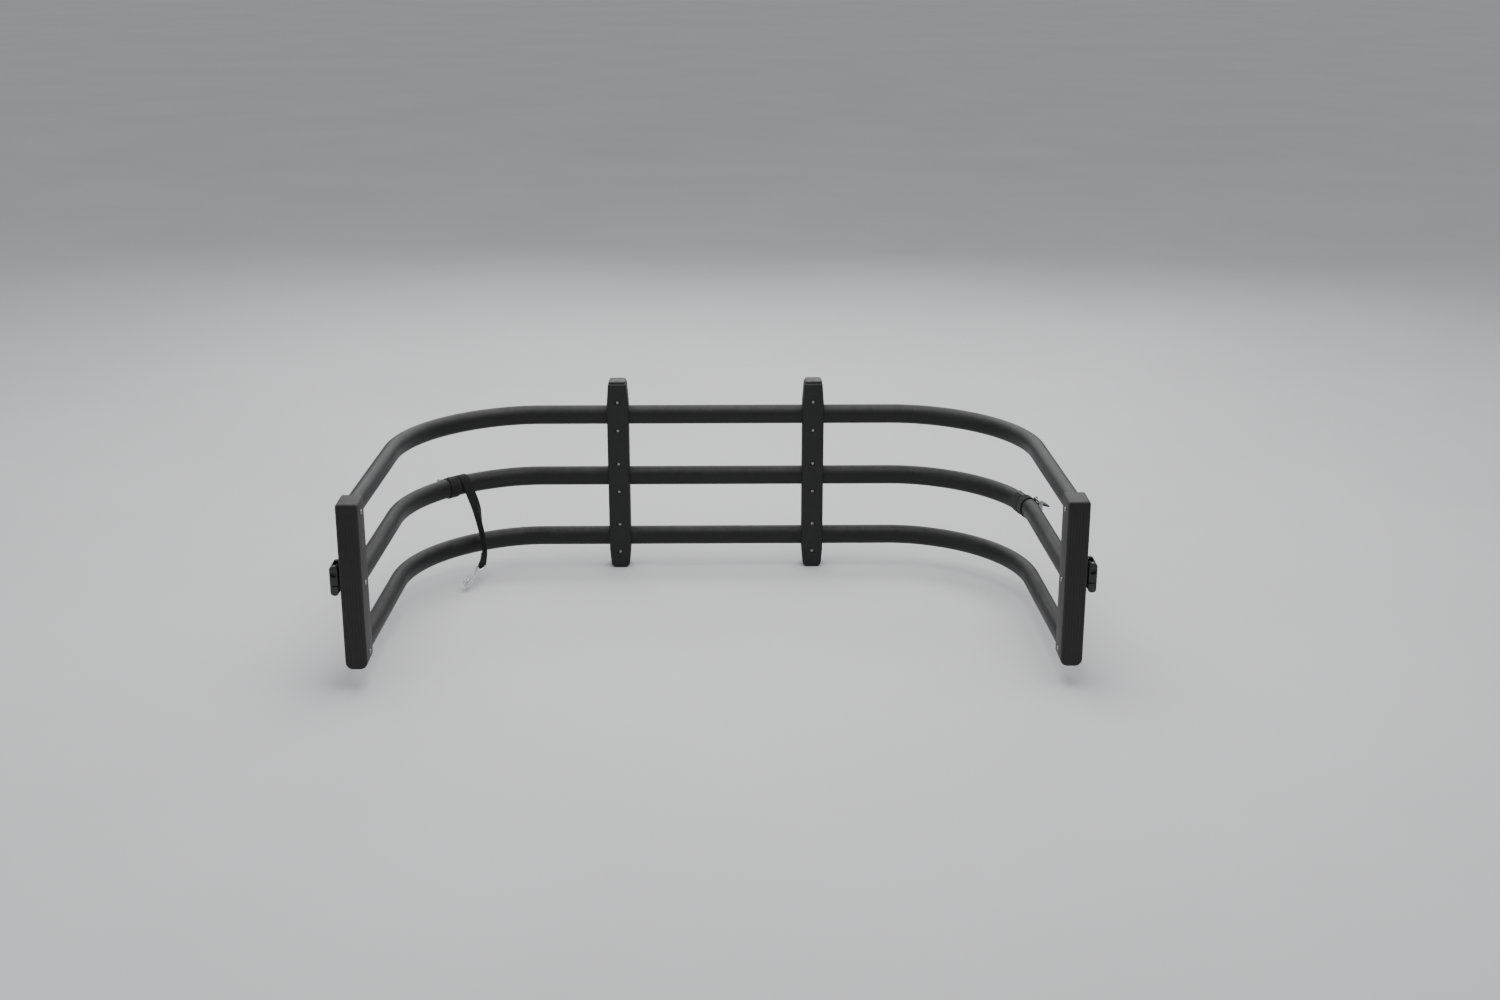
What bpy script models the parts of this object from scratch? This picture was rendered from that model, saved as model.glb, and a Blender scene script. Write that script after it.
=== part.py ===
"""Truck bed extender: three oval tubes bent in a U, two uprights, two end posts on wall pivots.

Metres, +Z up. The origin is the middle of the pivot line, +Y is the way the U reaches.
"""
import math
import bpy
import numpy as np

for old in list(bpy.data.objects):
    bpy.data.objects.remove(old, do_unlink=True)

# driving sizes
bedHalf = 0.766          # half the width between the bed walls
wallGap = 0.0215         # outer face of an end post to the bed wall
postDeep = 0.066
postWall = 0.0025
tubeSlack = 0.00125       # tube flank to the post wall
postEnd = 0.0027          # post beyond the top of the top tube, and below the low tube
postFoot = 0.0055
reach = 0.7156           # pivot line to the straight tubes
pitch = 0.1488           # tube to tube, centre to centre
tubeTall = 0.0445
tubeDeep = 0.037
tubeWall = 0.002
gentleRadius = 0.262
gentleTurn = math.radians(20.5)
cornerRadius = 0.3246
cornerTurn = math.radians(67.3)
uprightX = 0.2275
uprightWide = 0.050
uprightDeep = 0.050
uprightOver = 0.0782      # upright above the top tube centre, and below the low one
uprightUnder = 0.0732
screwOff = 0.034         # clamp screw above and below each tube centre
gap = 0.0003             # clearance between touching pieces
joinerLong = 0.080
joinerWall = 0.0025
slotWide = 0.0106
neckRadius = 0.008
studHead = 0.0075
neckFlat = 0.005         # half distance between the two flats on the pivot neck
studShank = 0.0047
studShoulder = 0.0105
keeperRadius = 0.0120
screwHole = 0.0026       # clamp screw holes in the uprights
screwShank = 0.0022
clampHead = 0.0043
clampSink = 0.0052
postScrewHole = 0.0027
postScrewHead = 0.0046
studHole = 0.0053
taperReach = 0.6         # the width of an upright is full this many tube heights past a row
endShare = 0.85          # width left at both of its ends
shellWall = 0.0065       # upright wall beside the long pockets, and beside the end ones
endWall = 0.0100
bracketTop = 0.0420
bracketLow = -0.0205
bracketHalf = 0.024
bracketRound = 0.0075
bracketOff = 0.0045      # post face to bracket
plateThick = 0.0045
backPlate = 0.004
chamberHalf = 0.0145
wallScrewY = 0.0192
eyeZ = 0.0240
eyeRadius = 0.0056
eyeRim = 0.0068
topRound = 0.0055        # post corners, and the round of its back edges
footRound = 0.015
backRound = 0.0045
fluteCount = 6
fluteDeep = 0.0009
webThick = 0.0016
webWide = 0.025
strapShare = {"left": 0.362, "right": 0.84}     # place of each strap on its bend
bandIn = 0.0008          # tube surface to the band
turnGap = 0.0024         # band to the loose turn beside it
buckleDeep = 0.010
buckleTall = 0.034
leverHalf = 0.0127
buckleHalf = 0.0165
barrel = 0.0034
hookWire = 0.0022
hookLong = 0.078
hookBend = 0.0055
hookBack = 0.018
hookNear = 0.0044        # half distance between the two arms
foldMost = math.radians(84)             # webbing folded lengthwise where the hook is sewn on
loopRadius = 0.0052
rightSwing = math.radians(80)           # the right hook lies back along its tube

# sizes that follow
postWide = tubeDeep + 2 * (postWall + tubeSlack)
postOuter = bedHalf - wallGap
postTop = pitch + tubeTall / 2 + postEnd
postLow = -pitch - tubeTall / 2 - postFoot
uprightTop = pitch + uprightOver
uprightLow = -pitch - uprightUnder
postX = postOuter - postWide / 2
tubeEnd = -0.012         # how far back the tube ends reach inside the post
rows = (("top", pitch), ("mid", 0.0), ("low", -pitch))
sides = (("left", -1.0), ("right", 1.0))
sectionSegs = 16
turnShift = (webWide + turnGap) / (cornerRadius * cornerTurn)
bore = tubeWall + gap                    # tube surface to the joiner inside it
up = np.array((0.0, 0.0, 1.0))

# colours: (red, green, blue, metallic, roughness)
palette = {
    "tube": (0.022, 0.023, 0.025, 0.6, 0.45),
    "nylon": (0.020, 0.022, 0.022, 0.0, 0.62),
    "post": (0.035, 0.036, 0.033, 0.5, 0.5),
    "cap": (0.030, 0.030, 0.030, 0.0, 0.6),
    "screw": (0.45, 0.45, 0.44, 1.0, 0.35),
    "steel": (0.55, 0.55, 0.56, 1.0, 0.3),
    "bracket": (0.04, 0.04, 0.04, 0.4, 0.5),
    "webbing": (0.012, 0.012, 0.013, 0.0, 0.85),
    "alloy": (0.30, 0.30, 0.31, 1.0, 0.4),
}


def material(node, key):
    red, green, blue, metal, rough = palette[key]
    made = bpy.data.materials.new(node + "_" + key)
    made.use_nodes = True
    shader = made.node_tree.nodes["Principled BSDF"]
    shader.inputs["Base Color"].default_value = (red, green, blue, 1.0)
    shader.inputs["Metallic"].default_value = metal
    shader.inputs["Roughness"].default_value = rough
    made.diffuse_color = (red, green, blue, 1.0)
    return made


def place(name, verts, faces, key, origin=(0.0, 0.0, 0.0), smooth=True):
    """One named object; its origin sits where it turns, or at the frame origin."""
    base = np.array(origin, float)
    mesh = bpy.data.meshes.new(name)
    mesh.from_pydata([tuple(v) for v in np.asarray(verts, float) - base], [], faces)
    mesh.update()
    if smooth:
        mesh.shade_smooth()
        mesh.set_sharp_from_angle(angle=math.radians(35))
    thing = bpy.data.objects.new(name, mesh)
    thing.location = tuple(base)
    bpy.context.scene.collection.objects.link(thing)
    if key is not None:
        mesh.materials.append(material(name, key))
    return thing


def bands(first, count, size):
    """Quads between rings of the same size stored one after another."""
    faces = []
    for ring in range(count - 1):
        low = first + ring * size
        for k in range(size):
            following = (k + 1) % size
            faces.append((low + k, low + following, low + size + following, low + size + k))
    return faces


def solidLoft(rings):
    """Closed solid through a list of rings, flat at both ends."""
    rings = [np.asarray(r, float) for r in rings]
    size = len(rings[0])
    verts = np.concatenate(rings)
    faces = bands(0, len(rings), size)
    last = (len(rings) - 1) * size
    faces.append(tuple(range(size))[::-1])
    faces.append(tuple(range(last, last + size)))
    return orient(verts, faces)


def hollowLoft(outer, inner):
    """Open-ended pipe between outer rings and inner rings."""
    size = len(outer[0])
    count = len(outer)
    verts = np.concatenate([np.asarray(r, float) for r in list(outer) + list(inner)])
    faces = bands(0, count, size)
    shift = count * size
    faces += [f[::-1] for f in bands(shift, count, size)]
    last = (count - 1) * size
    for k in range(size):
        following = (k + 1) % size
        faces.append((following, k, shift + k, shift + following))
        faces.append((last + k, last + following, shift + last + following, shift + last + k))
    return orient(verts, faces)


def orient(verts, faces):
    """Turns all faces outward when the signed volume comes out negative."""
    total = 0.0
    for face in faces:
        a = verts[face[0]]
        for k in range(1, len(face) - 1):
            total += float(np.dot(a, np.cross(verts[face[k]], verts[face[k + 1]])))
    if total < 0:
        faces = [f[::-1] for f in faces]
    return verts, faces


def ovalRing(centre, across, halfDeep, halfTall, segs=sectionSegs):
    """Ellipse: cosine along the across direction, sine along +Z."""
    turn = 2 * math.pi * (np.arange(segs) + 0.5) / segs
    across = np.asarray(across, float)
    return (np.asarray(centre, float) + np.outer(np.cos(turn) * halfDeep, across)
            + np.outer(np.sin(turn) * halfTall, up))


def circleRing(centre, axis, radius, segs):
    axis = np.asarray(axis, float) / np.linalg.norm(axis)
    side = np.cross(axis, up if abs(axis[2]) < 0.9 else np.array((1.0, 0.0, 0.0)))
    side = side / np.linalg.norm(side)
    other = np.cross(axis, side)
    turn = 2 * math.pi * (np.arange(segs) + 0.5) / segs
    return (np.asarray(centre, float) + radius * np.outer(np.cos(turn), side)
            + radius * np.outer(np.sin(turn), other))


def turned(base, axis, profile, segs):
    """Round solid from (distance, radius) pairs along an axis."""
    axis = np.asarray(axis, float) / np.linalg.norm(axis)
    base = np.asarray(base, float)
    return solidLoft([circleRing(base + axis * d, axis, r, segs) for d, r in profile])


def roundedRect(halfA, halfB, radii, segs=3):
    """Corner points in order (+,+) (-,+) (-,-) (+,-), with one radius per corner."""
    points = []
    signs = ((1, 1), (-1, 1), (-1, -1), (1, -1))
    for index, (signA, signB) in enumerate(signs):
        radius = radii[index]
        for step in range(segs + 1):
            angle = math.pi / 2 * (index + step / segs)
            points.append((signA * (halfA - radius) + radius * math.cos(angle),
                           signB * (halfB - radius) + radius * math.sin(angle)))
    return np.array(points)


def merge(parts):
    """Several separate closed bodies as one list, used only for cutters."""
    verts = []
    faces = []
    count = 0
    for v, f in parts:
        verts.append(np.asarray(v, float))
        faces += [tuple(k + count for k in face) for face in f]
        count += len(v)
    return np.concatenate(verts), faces


def cut(target, name, parts):
    """Boolean difference with one hidden cutter object."""
    verts, faces = merge(parts)
    cutter = place(name, verts, faces, None, smooth=False)
    cutter.hide_render = True
    cutter.display_type = "WIRE"
    modifier = target.modifiers.new(name, "BOOLEAN")
    modifier.operation = "DIFFERENCE"
    modifier.solver = "EXACT"
    modifier.object = cutter


def block(x0, x1, y0, y1, z0, z1):
    xs = sorted((x0, x1))
    ys = sorted((y0, y1))
    zs = sorted((z0, z1))
    base = np.array([(xs[0], ys[0]), (xs[1], ys[0]), (xs[1], ys[1]), (xs[0], ys[1])])
    return solidLoft([np.column_stack((base, np.full(4, z))) for z in zs])


# ------ plan line of the U: straight, gentle arc, corner arc, leg into the post
legHeading = gentleTurn + cornerTurn
legY = (reach - gentleRadius * (1 - math.cos(gentleTurn))
        - cornerRadius * (math.cos(gentleTurn) - math.cos(legHeading)))
splay = 1.0 / math.tan(legHeading)           # sideways drift of the leg per metre of length
straightHalf = (postX - gentleRadius * math.sin(gentleTurn)
                - cornerRadius * (math.sin(legHeading) - math.sin(gentleTurn))
                - splay * (legY - (postDeep / 2 + tubeEnd) / 2))


def planLine(cornerSteps):
    """Plan points and headings from the upright to the end of the leg, right side."""
    points = [(straightHalf, reach)]
    headings = [0.0]
    for step in range(1, 3):
        angle = gentleTurn * step / 2
        points.append((straightHalf + gentleRadius * math.sin(angle),
                       reach - gentleRadius * (1 - math.cos(angle))))
        headings.append(angle)
    startX, startY = points[-1]
    for step in range(1, cornerSteps + 1):
        angle = gentleTurn + cornerTurn * step / cornerSteps
        points.append((startX + cornerRadius * (math.sin(angle) - math.sin(gentleTurn)),
                       startY - cornerRadius * (math.cos(gentleTurn) - math.cos(angle))))
        headings.append(angle)
    heading = headings[-1]
    endX, endY = points[-1]
    run = (endY - tubeEnd) / math.sin(heading)
    points.append((endX + run * math.cos(heading), tubeEnd))
    headings.append(heading)
    return points, headings


cornerX = straightHalf + gentleRadius * math.sin(gentleTurn)
cornerY = reach - gentleRadius * (1 - math.cos(gentleTurn))


def onLine(share, side):
    """Centre, tangent and outward direction on the corner arc; share runs 0 to 1 along it."""
    angle = gentleTurn + cornerTurn * share
    x = cornerX + cornerRadius * (math.sin(angle) - math.sin(gentleTurn))
    y = cornerY - cornerRadius * (math.cos(gentleTurn) - math.cos(angle))
    centre = np.array((side * x, y, 0.0))
    tangent = np.array((side * math.cos(angle), -math.sin(angle), 0.0))
    outward = np.array((side * math.sin(angle), math.cos(angle), 0.0))
    return centre, tangent, outward


# ------ tubes and the joiners inside them
def tubeRings(path, halfDeep, halfTall):
    return [ovalRing(centre, across, halfDeep, halfTall) for centre, across in path]


tubeHalfTall = tubeTall / 2
tubeHalfDeep = tubeDeep / 2
seam = gap / 2
for row, height in rows:
    ends = (-(uprightX - seam), uprightX - seam)
    path = [(np.array((x, reach, height)), (0.0, -1.0, 0.0)) for x in ends]
    verts, faces = hollowLoft(tubeRings(path, tubeHalfDeep, tubeHalfTall),
                              tubeRings(path, tubeHalfDeep - tubeWall, tubeHalfTall - tubeWall))
    place("tube_%s_centre" % row, verts, faces, "tube")
    for label, side in sides:
        path = [(np.array((side * (uprightX + seam), reach, height)), (0.0, -side, 0.0))]
        # the middle tube carries the straps, so its bend is finer
        for (x, y), heading in zip(*planLine(14 if row == "mid" else 6)):
            across = (-math.sin(heading), -side * math.cos(heading), 0.0)
            path.append((np.array((side * x, y, height)), across))
        centre, across = path[-1]
        path[-1] = (centre, (-1.0, 0.0, 0.0))
        verts, faces = hollowLoft(tubeRings(path, tubeHalfDeep, tubeHalfTall),
                                  tubeRings(path, tubeHalfDeep - tubeWall,
                                            tubeHalfTall - tubeWall))
        tube = place("tube_%s_%s" % (row, label), verts, faces, "tube")
        innerSide = side * (postX - tubeHalfDeep)
        drills = [turned((innerSide - side * 0.004, 0.0, height), (side, 0, 0),
                         ((0.0, postScrewHole), (0.012, postScrewHole)), 10)]
        if row == "mid":
            outerSide = side * (postX + tubeHalfDeep)
            drills.append(turned((outerSide - side * 0.006, 0.0, height), (side, 0, 0),
                                 ((0.0, studHole), (0.012, studHole)), 12))
        cut(tube, "cut_tube_%s_%s" % (row, label), drills)
        ends = (side * uprightX - joinerLong / 2, side * uprightX + joinerLong / 2)
        path = [(np.array((x, reach, height)), (0.0, -1.0, 0.0)) for x in ends]
        verts, faces = hollowLoft(
            tubeRings(path, tubeHalfDeep - bore, tubeHalfTall - bore),
            tubeRings(path, tubeHalfDeep - bore - joinerWall, tubeHalfTall - bore - joinerWall))
        place("joiner_%s_%s" % (row, label), verts, faces, "alloy")

# ------ uprights: two half shells, a cap on top, six clamp screws
shellHalf = uprightDeep / 2
taperLow = -pitch - tubeTall * taperReach
taperTop = pitch + tubeTall * taperReach


def uprightRing(inset):
    """Rear view of an upright: full width in the middle, narrower to both ends."""
    tall = (uprightTop - uprightLow) / 2
    middle = (uprightTop + uprightLow) / 2
    top = max(0.004 - inset, 0.001)
    low = max(0.012 - inset, 0.002)
    arcs = roundedRect(uprightWide / 2 - inset, tall - inset, (top, top, low, low))
    arcs[:, 1] += middle
    half = uprightWide / 2 - inset
    edge = (taperTop, taperLow)
    left = np.array([(-half, z) for z in edge])
    right = np.array([(half, z) for z in edge[::-1]])
    count = len(arcs) // 2
    ring = np.vstack((arcs[:count], left, arcs[count:], right))
    ring[:, 0] *= np.interp(ring[:, 1], (uprightLow, taperLow, taperTop, uprightTop),
                            (endShare, 1.0, 1.0, endShare))
    return ring


for label, side in sides:
    x0 = side * uprightX
    for half, way in (("rear", -1.0), ("front", 1.0)):
        rings = []
        for depth, inset in ((seam, 0.0), (shellHalf - 0.004, 0.0), (shellHalf - 0.0015, 0.0012),
                             (shellHalf, 0.004)):
            ring = uprightRing(inset)
            rings.append(np.column_stack((x0 + ring[:, 0], np.full(len(ring), reach + way * depth),
                                          ring[:, 1])))
        verts, faces = solidLoft(rings)
        shell = place("upright_%s_%s" % (label, half), verts, faces, "nylon")
        cutters = []
        for row, height in rows:
            path = [(np.array((x0 + s * uprightWide, reach, height)), (0.0, -1.0, 0.0))
                    for s in (-1, 1)]
            cutters.append(solidLoft(tubeRings(path, tubeHalfDeep + gap, tubeHalfTall + gap)))
        cut(shell, "cut_%s_%s_bores" % (label, half), cutters)
        cutters = []
        hollow = 0.017
        nearest = screwOff + 0.012        # pockets stay this far from a tube centre
        spans = ((nearest, pitch - nearest), (nearest - pitch, -nearest),
                 (pitch + nearest - 0.0018, uprightTop - 0.0085),
                 (uprightLow + 0.0105, nearest * -1 + 0.0018 - pitch))
        for z0, z1 in spans:
            wall = shellWall if abs(z0) < pitch and abs(z1) < pitch else endWall
            halfPocket = uprightWide / 2 - wall
            cutters.append(block(x0 - halfPocket, x0 + halfPocket, reach - way * 0.001,
                                 reach + way * hollow, z0, z1))
        for row, height in rows:
            for sign in (1, -1):
                z = height + sign * screwOff
                if half == "rear":
                    cutters.append(turned((x0, reach + 0.001, z), (0, -1, 0),
                                          ((0.0, screwHole), (0.0215, screwHole),
                                           (0.0216, clampSink), (0.030, clampSink)), 10))
                else:
                    cutters.append(turned((x0, reach - 0.001, z), (0, 1, 0),
                                          ((0.0, screwHole), (0.015, screwHole)), 10))
        cut(shell, "cut_%s_%s_holes" % (label, half), cutters)
    number = 0
    for row, height in rows:
        for sign in (1, -1):
            number += 1
            seat = reach - shellHalf + 0.0043
            verts, faces = turned((x0, seat - gap, height + sign * screwOff), (0, 1, 0),
                                  ((-0.0028, screwShank), (-0.0024, 0.0036),
                                   (-0.0008, clampHead), (0.0, clampHead),
                                   (0.0001, screwShank), (0.033, screwShank)), 10)
            place("clamp_screw_%s_%d" % (label, number), verts, faces, "screw")
    rings = []
    for lift, inset in ((gap, 0.0015), (0.003, 0.0015), (0.005, 0.003), (0.006, 0.006)):
        ring = roundedRect(endShare * uprightWide / 2 - 0.0005 - inset, shellHalf - 0.002 - inset,
                           (0.006, 0.006, 0.006, 0.006))
        rings.append(np.column_stack((x0 + ring[:, 0], reach + ring[:, 1],
                                      np.full(len(ring), uprightTop + lift))))
    verts, faces = solidLoft(rings)
    place("upright_cap_%s" % label, verts, faces, "cap")

# ------ end posts: a moulded trough open towards the tubes, grooved back, three screws
postHalf = postDeep / 2
pocket = postWide / 2 - postWall
postMiddle = (postTop + postLow) / 2
postTall = (postTop - postLow) / 2
fluteStep = (postWide - 2 * backRound) / fluteCount
for label, side in sides:
    rings = []
    for step in range(5):
        angle = math.pi / 2 * step / 4
        inset = backRound * (1 - math.sin(angle))
        depth = -postHalf + backRound * (1 - math.cos(angle))
        ring = roundedRect(postWide / 2 - inset, postTall - inset,
                           (topRound - inset, topRound - inset, footRound - inset,
                            footRound - inset), 5)
        rings.append(np.column_stack((side * postX + ring[:, 0], np.full(len(ring), depth),
                                      postMiddle + ring[:, 1])))
    rings.append(rings[-1] + np.array((0.0, postDeep - backRound, 0.0)))
    verts, faces = solidLoft(rings)
    post = place("post_%s" % label, verts, faces, "post")
    ring = roundedRect(pocket, postTall - postWall,
                       (topRound - postWall,) * 2 + (footRound - postWall,) * 2, 5)
    cavity = solidLoft([np.column_stack((side * postX + ring[:, 0], np.full(len(ring), y),
                                         postMiddle + ring[:, 1]))
                        for y in (-postHalf + postWall + 0.001, postHalf + 0.002)])
    cut(post, "cut_post_%s_cavity" % label, [cavity])
    flutes = []
    for k in range(fluteCount):
        middle = side * postX - postWide / 2 + backRound + fluteStep * (k + 0.5)
        base = np.array([(middle - 0.0019, -postHalf - 0.0003), (middle + 0.0019,
                                                                 -postHalf - 0.0003),
                         (middle + 0.0006, -postHalf + fluteDeep),
                         (middle - 0.0006, -postHalf + fluteDeep)])
        flutes.append(solidLoft([np.column_stack((base, np.full(4, z)))
                                 for z in (postLow - 0.01, postTop + 0.01)]))
    cut(post, "cut_post_%s_flutes" % label, flutes)
    innerFace = side * (postX - postWide / 2)
    outerFace = side * postOuter
    drills = [turned((innerFace - side * 0.002, 0.0, z), (side, 0, 0),
                     ((0.0, postScrewHole), (0.008, postScrewHole)), 10) for row, z in rows]
    drills.append(turned((outerFace - side * 0.006, 0.0, 0.0), (side, 0, 0),
                         ((0.0, studHole), (0.010, studHole)), 12))
    cut(post, "cut_post_%s" % label, drills)
    for number, (row, z) in enumerate(rows):
        verts, faces = turned((innerFace - side * gap, 0.0, z), (side, 0, 0),
                              ((-0.0026, 0.0022), (-0.0022, 0.0038), (-0.0006, postScrewHead),
                               (0.0, postScrewHead), (0.0001, 0.0024), (0.0085, 0.0024)), 10)
        place("post_screw_%s_%d" % (label, number + 1), verts, faces, "screw")

# ------ wall brackets with an open keyhole, and the pivot studs that turn in them
plateIn = postOuter + bracketOff
plateOut = plateIn + plateThick
wallPlate = bedHalf - backPlate
for label, side in sides:
    tall = (bracketTop - bracketLow) / 2
    middle = (bracketTop + bracketLow) / 2
    eyeX = side * (plateIn + bedHalf) / 2
    bracketWide = bedHalf - plateIn
    rings = []
    for y, inset in ((-bracketHalf, 0.0012), (-bracketHalf + 0.0012, 0.0),
                     (bracketHalf - 0.0012, 0.0), (bracketHalf, 0.0012)):
        ring = roundedRect(bracketWide / 2 - inset, tall - inset, (bracketRound - inset,) * 4, 5)
        rings.append(np.column_stack((eyeX + ring[:, 0], np.full(len(ring), y),
                                      middle + ring[:, 1])))
    verts, faces = solidLoft(rings)
    bracket = place("bracket_%s" % label, verts, faces, "bracket")
    seat = turned((side * (plateIn - 0.002), 0, 0), (side, 0, 0),
                  ((0.0, neckRadius + gap), (0.008, neckRadius + gap)), 24)
    slot = block(side * (plateIn - 0.002), side * (plateOut + 0.001), -slotWide / 2,
                 slotWide / 2, 0.0, bracketTop + 0.01)
    chamber = block(side * plateOut, side * wallPlate, -chamberHalf, chamberHalf, -chamberHalf,
                    bracketTop + 0.01)
    cut(bracket, "cut_bracket_%s_chamber" % label, [chamber])
    cut(bracket, "cut_bracket_%s_seat" % label, [seat])
    cut(bracket, "cut_bracket_%s_slot" % label, [slot])
    holes = [turned((side * (plateIn - 0.002), y, 0.0), (side, 0, 0),
                    ((0.0, 0.0045), (0.014, 0.0045), (0.0141, 0.0028), (0.022, 0.0028)), 12)
             for y in (-wallScrewY, wallScrewY)]
    cut(bracket, "cut_bracket_%s_screws" % label, holes)

    # blind eye with a shallow rim, and a ledge line, on the side towards the tailgate
    ledge = block(side * (plateIn - 0.002), side * (bedHalf + 0.002), -bracketHalf - 0.002,
                  -bracketHalf + 0.0014, -0.0012, 0.0012)
    eye = turned((eyeX, -bracketHalf - 0.002, eyeZ), (0, 1, 0),
                 ((0.0, eyeRim), (0.0028, eyeRim), (0.0029, eyeRadius), (0.0085, eyeRadius)), 20)
    cut(bracket, "cut_bracket_%s_eye" % label, [eye, ledge])

    # stud: head in the tube bore, shank, shoulder, flatted neck, keeper disc
    boreDeep = tubeHalfDeep - tubeWall
    boreTall = tubeHalfTall - tubeWall
    headFace = postX + boreDeep * math.sqrt(1 - (studHead / boreTall) ** 2) - gap - 0.0003
    profile = ((headFace - 0.0040, studHead - 0.0015), (headFace - 0.0030, studHead),
               (headFace, studHead), (headFace + 0.0001, studShank),
               (postOuter + gap, studShank),
               (postOuter + gap + 0.0001, studShoulder),
               (plateIn - gap - 0.0001, studShoulder),
               (plateIn - gap, neckRadius), (plateOut + gap, neckRadius),
               (plateOut + gap + 0.0001, keeperRadius),
               (plateOut + gap + 0.0028, keeperRadius),
               (plateOut + gap + 0.0034, 0.0114))
    verts, faces = turned((0, 0, 0), (side, 0, 0), profile, 24)
    verts = np.array(verts)
    along = np.abs(verts[:, 0])
    neck = (along > plateIn - 0.00035) & (along < plateOut + 0.00035)
    verts[neck, 2] = np.clip(verts[neck, 2], -neckFlat, neckFlat)
    place("pivot_stud_%s" % label, verts, faces, "steel")

# ------ straps
# the left strap hangs: along the tube, outwards past its inner flank and up from the middle of
# its turn, and the fold in degrees
hanging = ((-0.0062, -0.0030, 0.0010, 0), (-0.0084, -0.0037, -0.0075, 0),
           (-0.0129, -0.0043, -0.0216, 0),
           (-0.0177, -0.0060, -0.0367, 0), (-0.0227, -0.0094, -0.0578, 12),
           (-0.0267, -0.0137, -0.0858, 42), (-0.0287, -0.0189, -0.1153, 66),
           (-0.0284, -0.0249, -0.1401, 80), (-0.0248, -0.0311, -0.1599, 84),
           (-0.0172, -0.0381, -0.1761, 84), (-0.0120, -0.0418, -0.1863, 84))
hookAim = np.array((-0.399, -0.863, -0.310))


def webbing(points, across, folds):
    """Strip along points; across is the width direction, folds the lengthwise fold angles."""
    points = np.asarray(points, float)
    along = np.gradient(points, axis=0)
    along /= np.linalg.norm(along, axis=1)[:, None]
    rings = []
    for centre, tangent, wide, fold in zip(points, along, across, folds):
        wide = wide - tangent * np.dot(wide, tangent)
        wide = wide / np.linalg.norm(wide)
        flat = np.cross(tangent, wide)
        c = math.cos(fold)
        s = math.sin(fold)
        w = webWide / 2
        t = webThick / 2
        section = ((w * c + t * s, w * s - t * c), (w * c - t * s, w * s + t * c), (0.0, t / c),
                   (-w * c + t * s, w * s + t * c), (-w * c - t * s, w * s - t * c),
                   (0.0, -t * (1 + 0.1 * s)))
        rings.append(np.array([centre + wide * a + flat * (b - w / 2 * s) for a, b in section]))
    return solidLoft(rings)


def wire(points, radius, segs=8):
    """Round wire along points, frames carried from one point to the next."""
    points = np.asarray(points, float)
    along = np.gradient(points, axis=0)
    along /= np.linalg.norm(along, axis=1)[:, None]
    side = np.cross(along[0], (0.31, 0.95, 0.05))
    turn = 2 * math.pi * np.arange(segs) / segs
    rings = []
    for centre, tangent in zip(points, along):
        side = side - tangent * np.dot(side, tangent)
        side = side / np.linalg.norm(side)
        other = np.cross(tangent, side)
        rings.append(centre + radius * (np.outer(np.cos(turn), side)
                                        + np.outer(np.sin(turn), other)))
    return solidLoft(rings)


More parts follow.
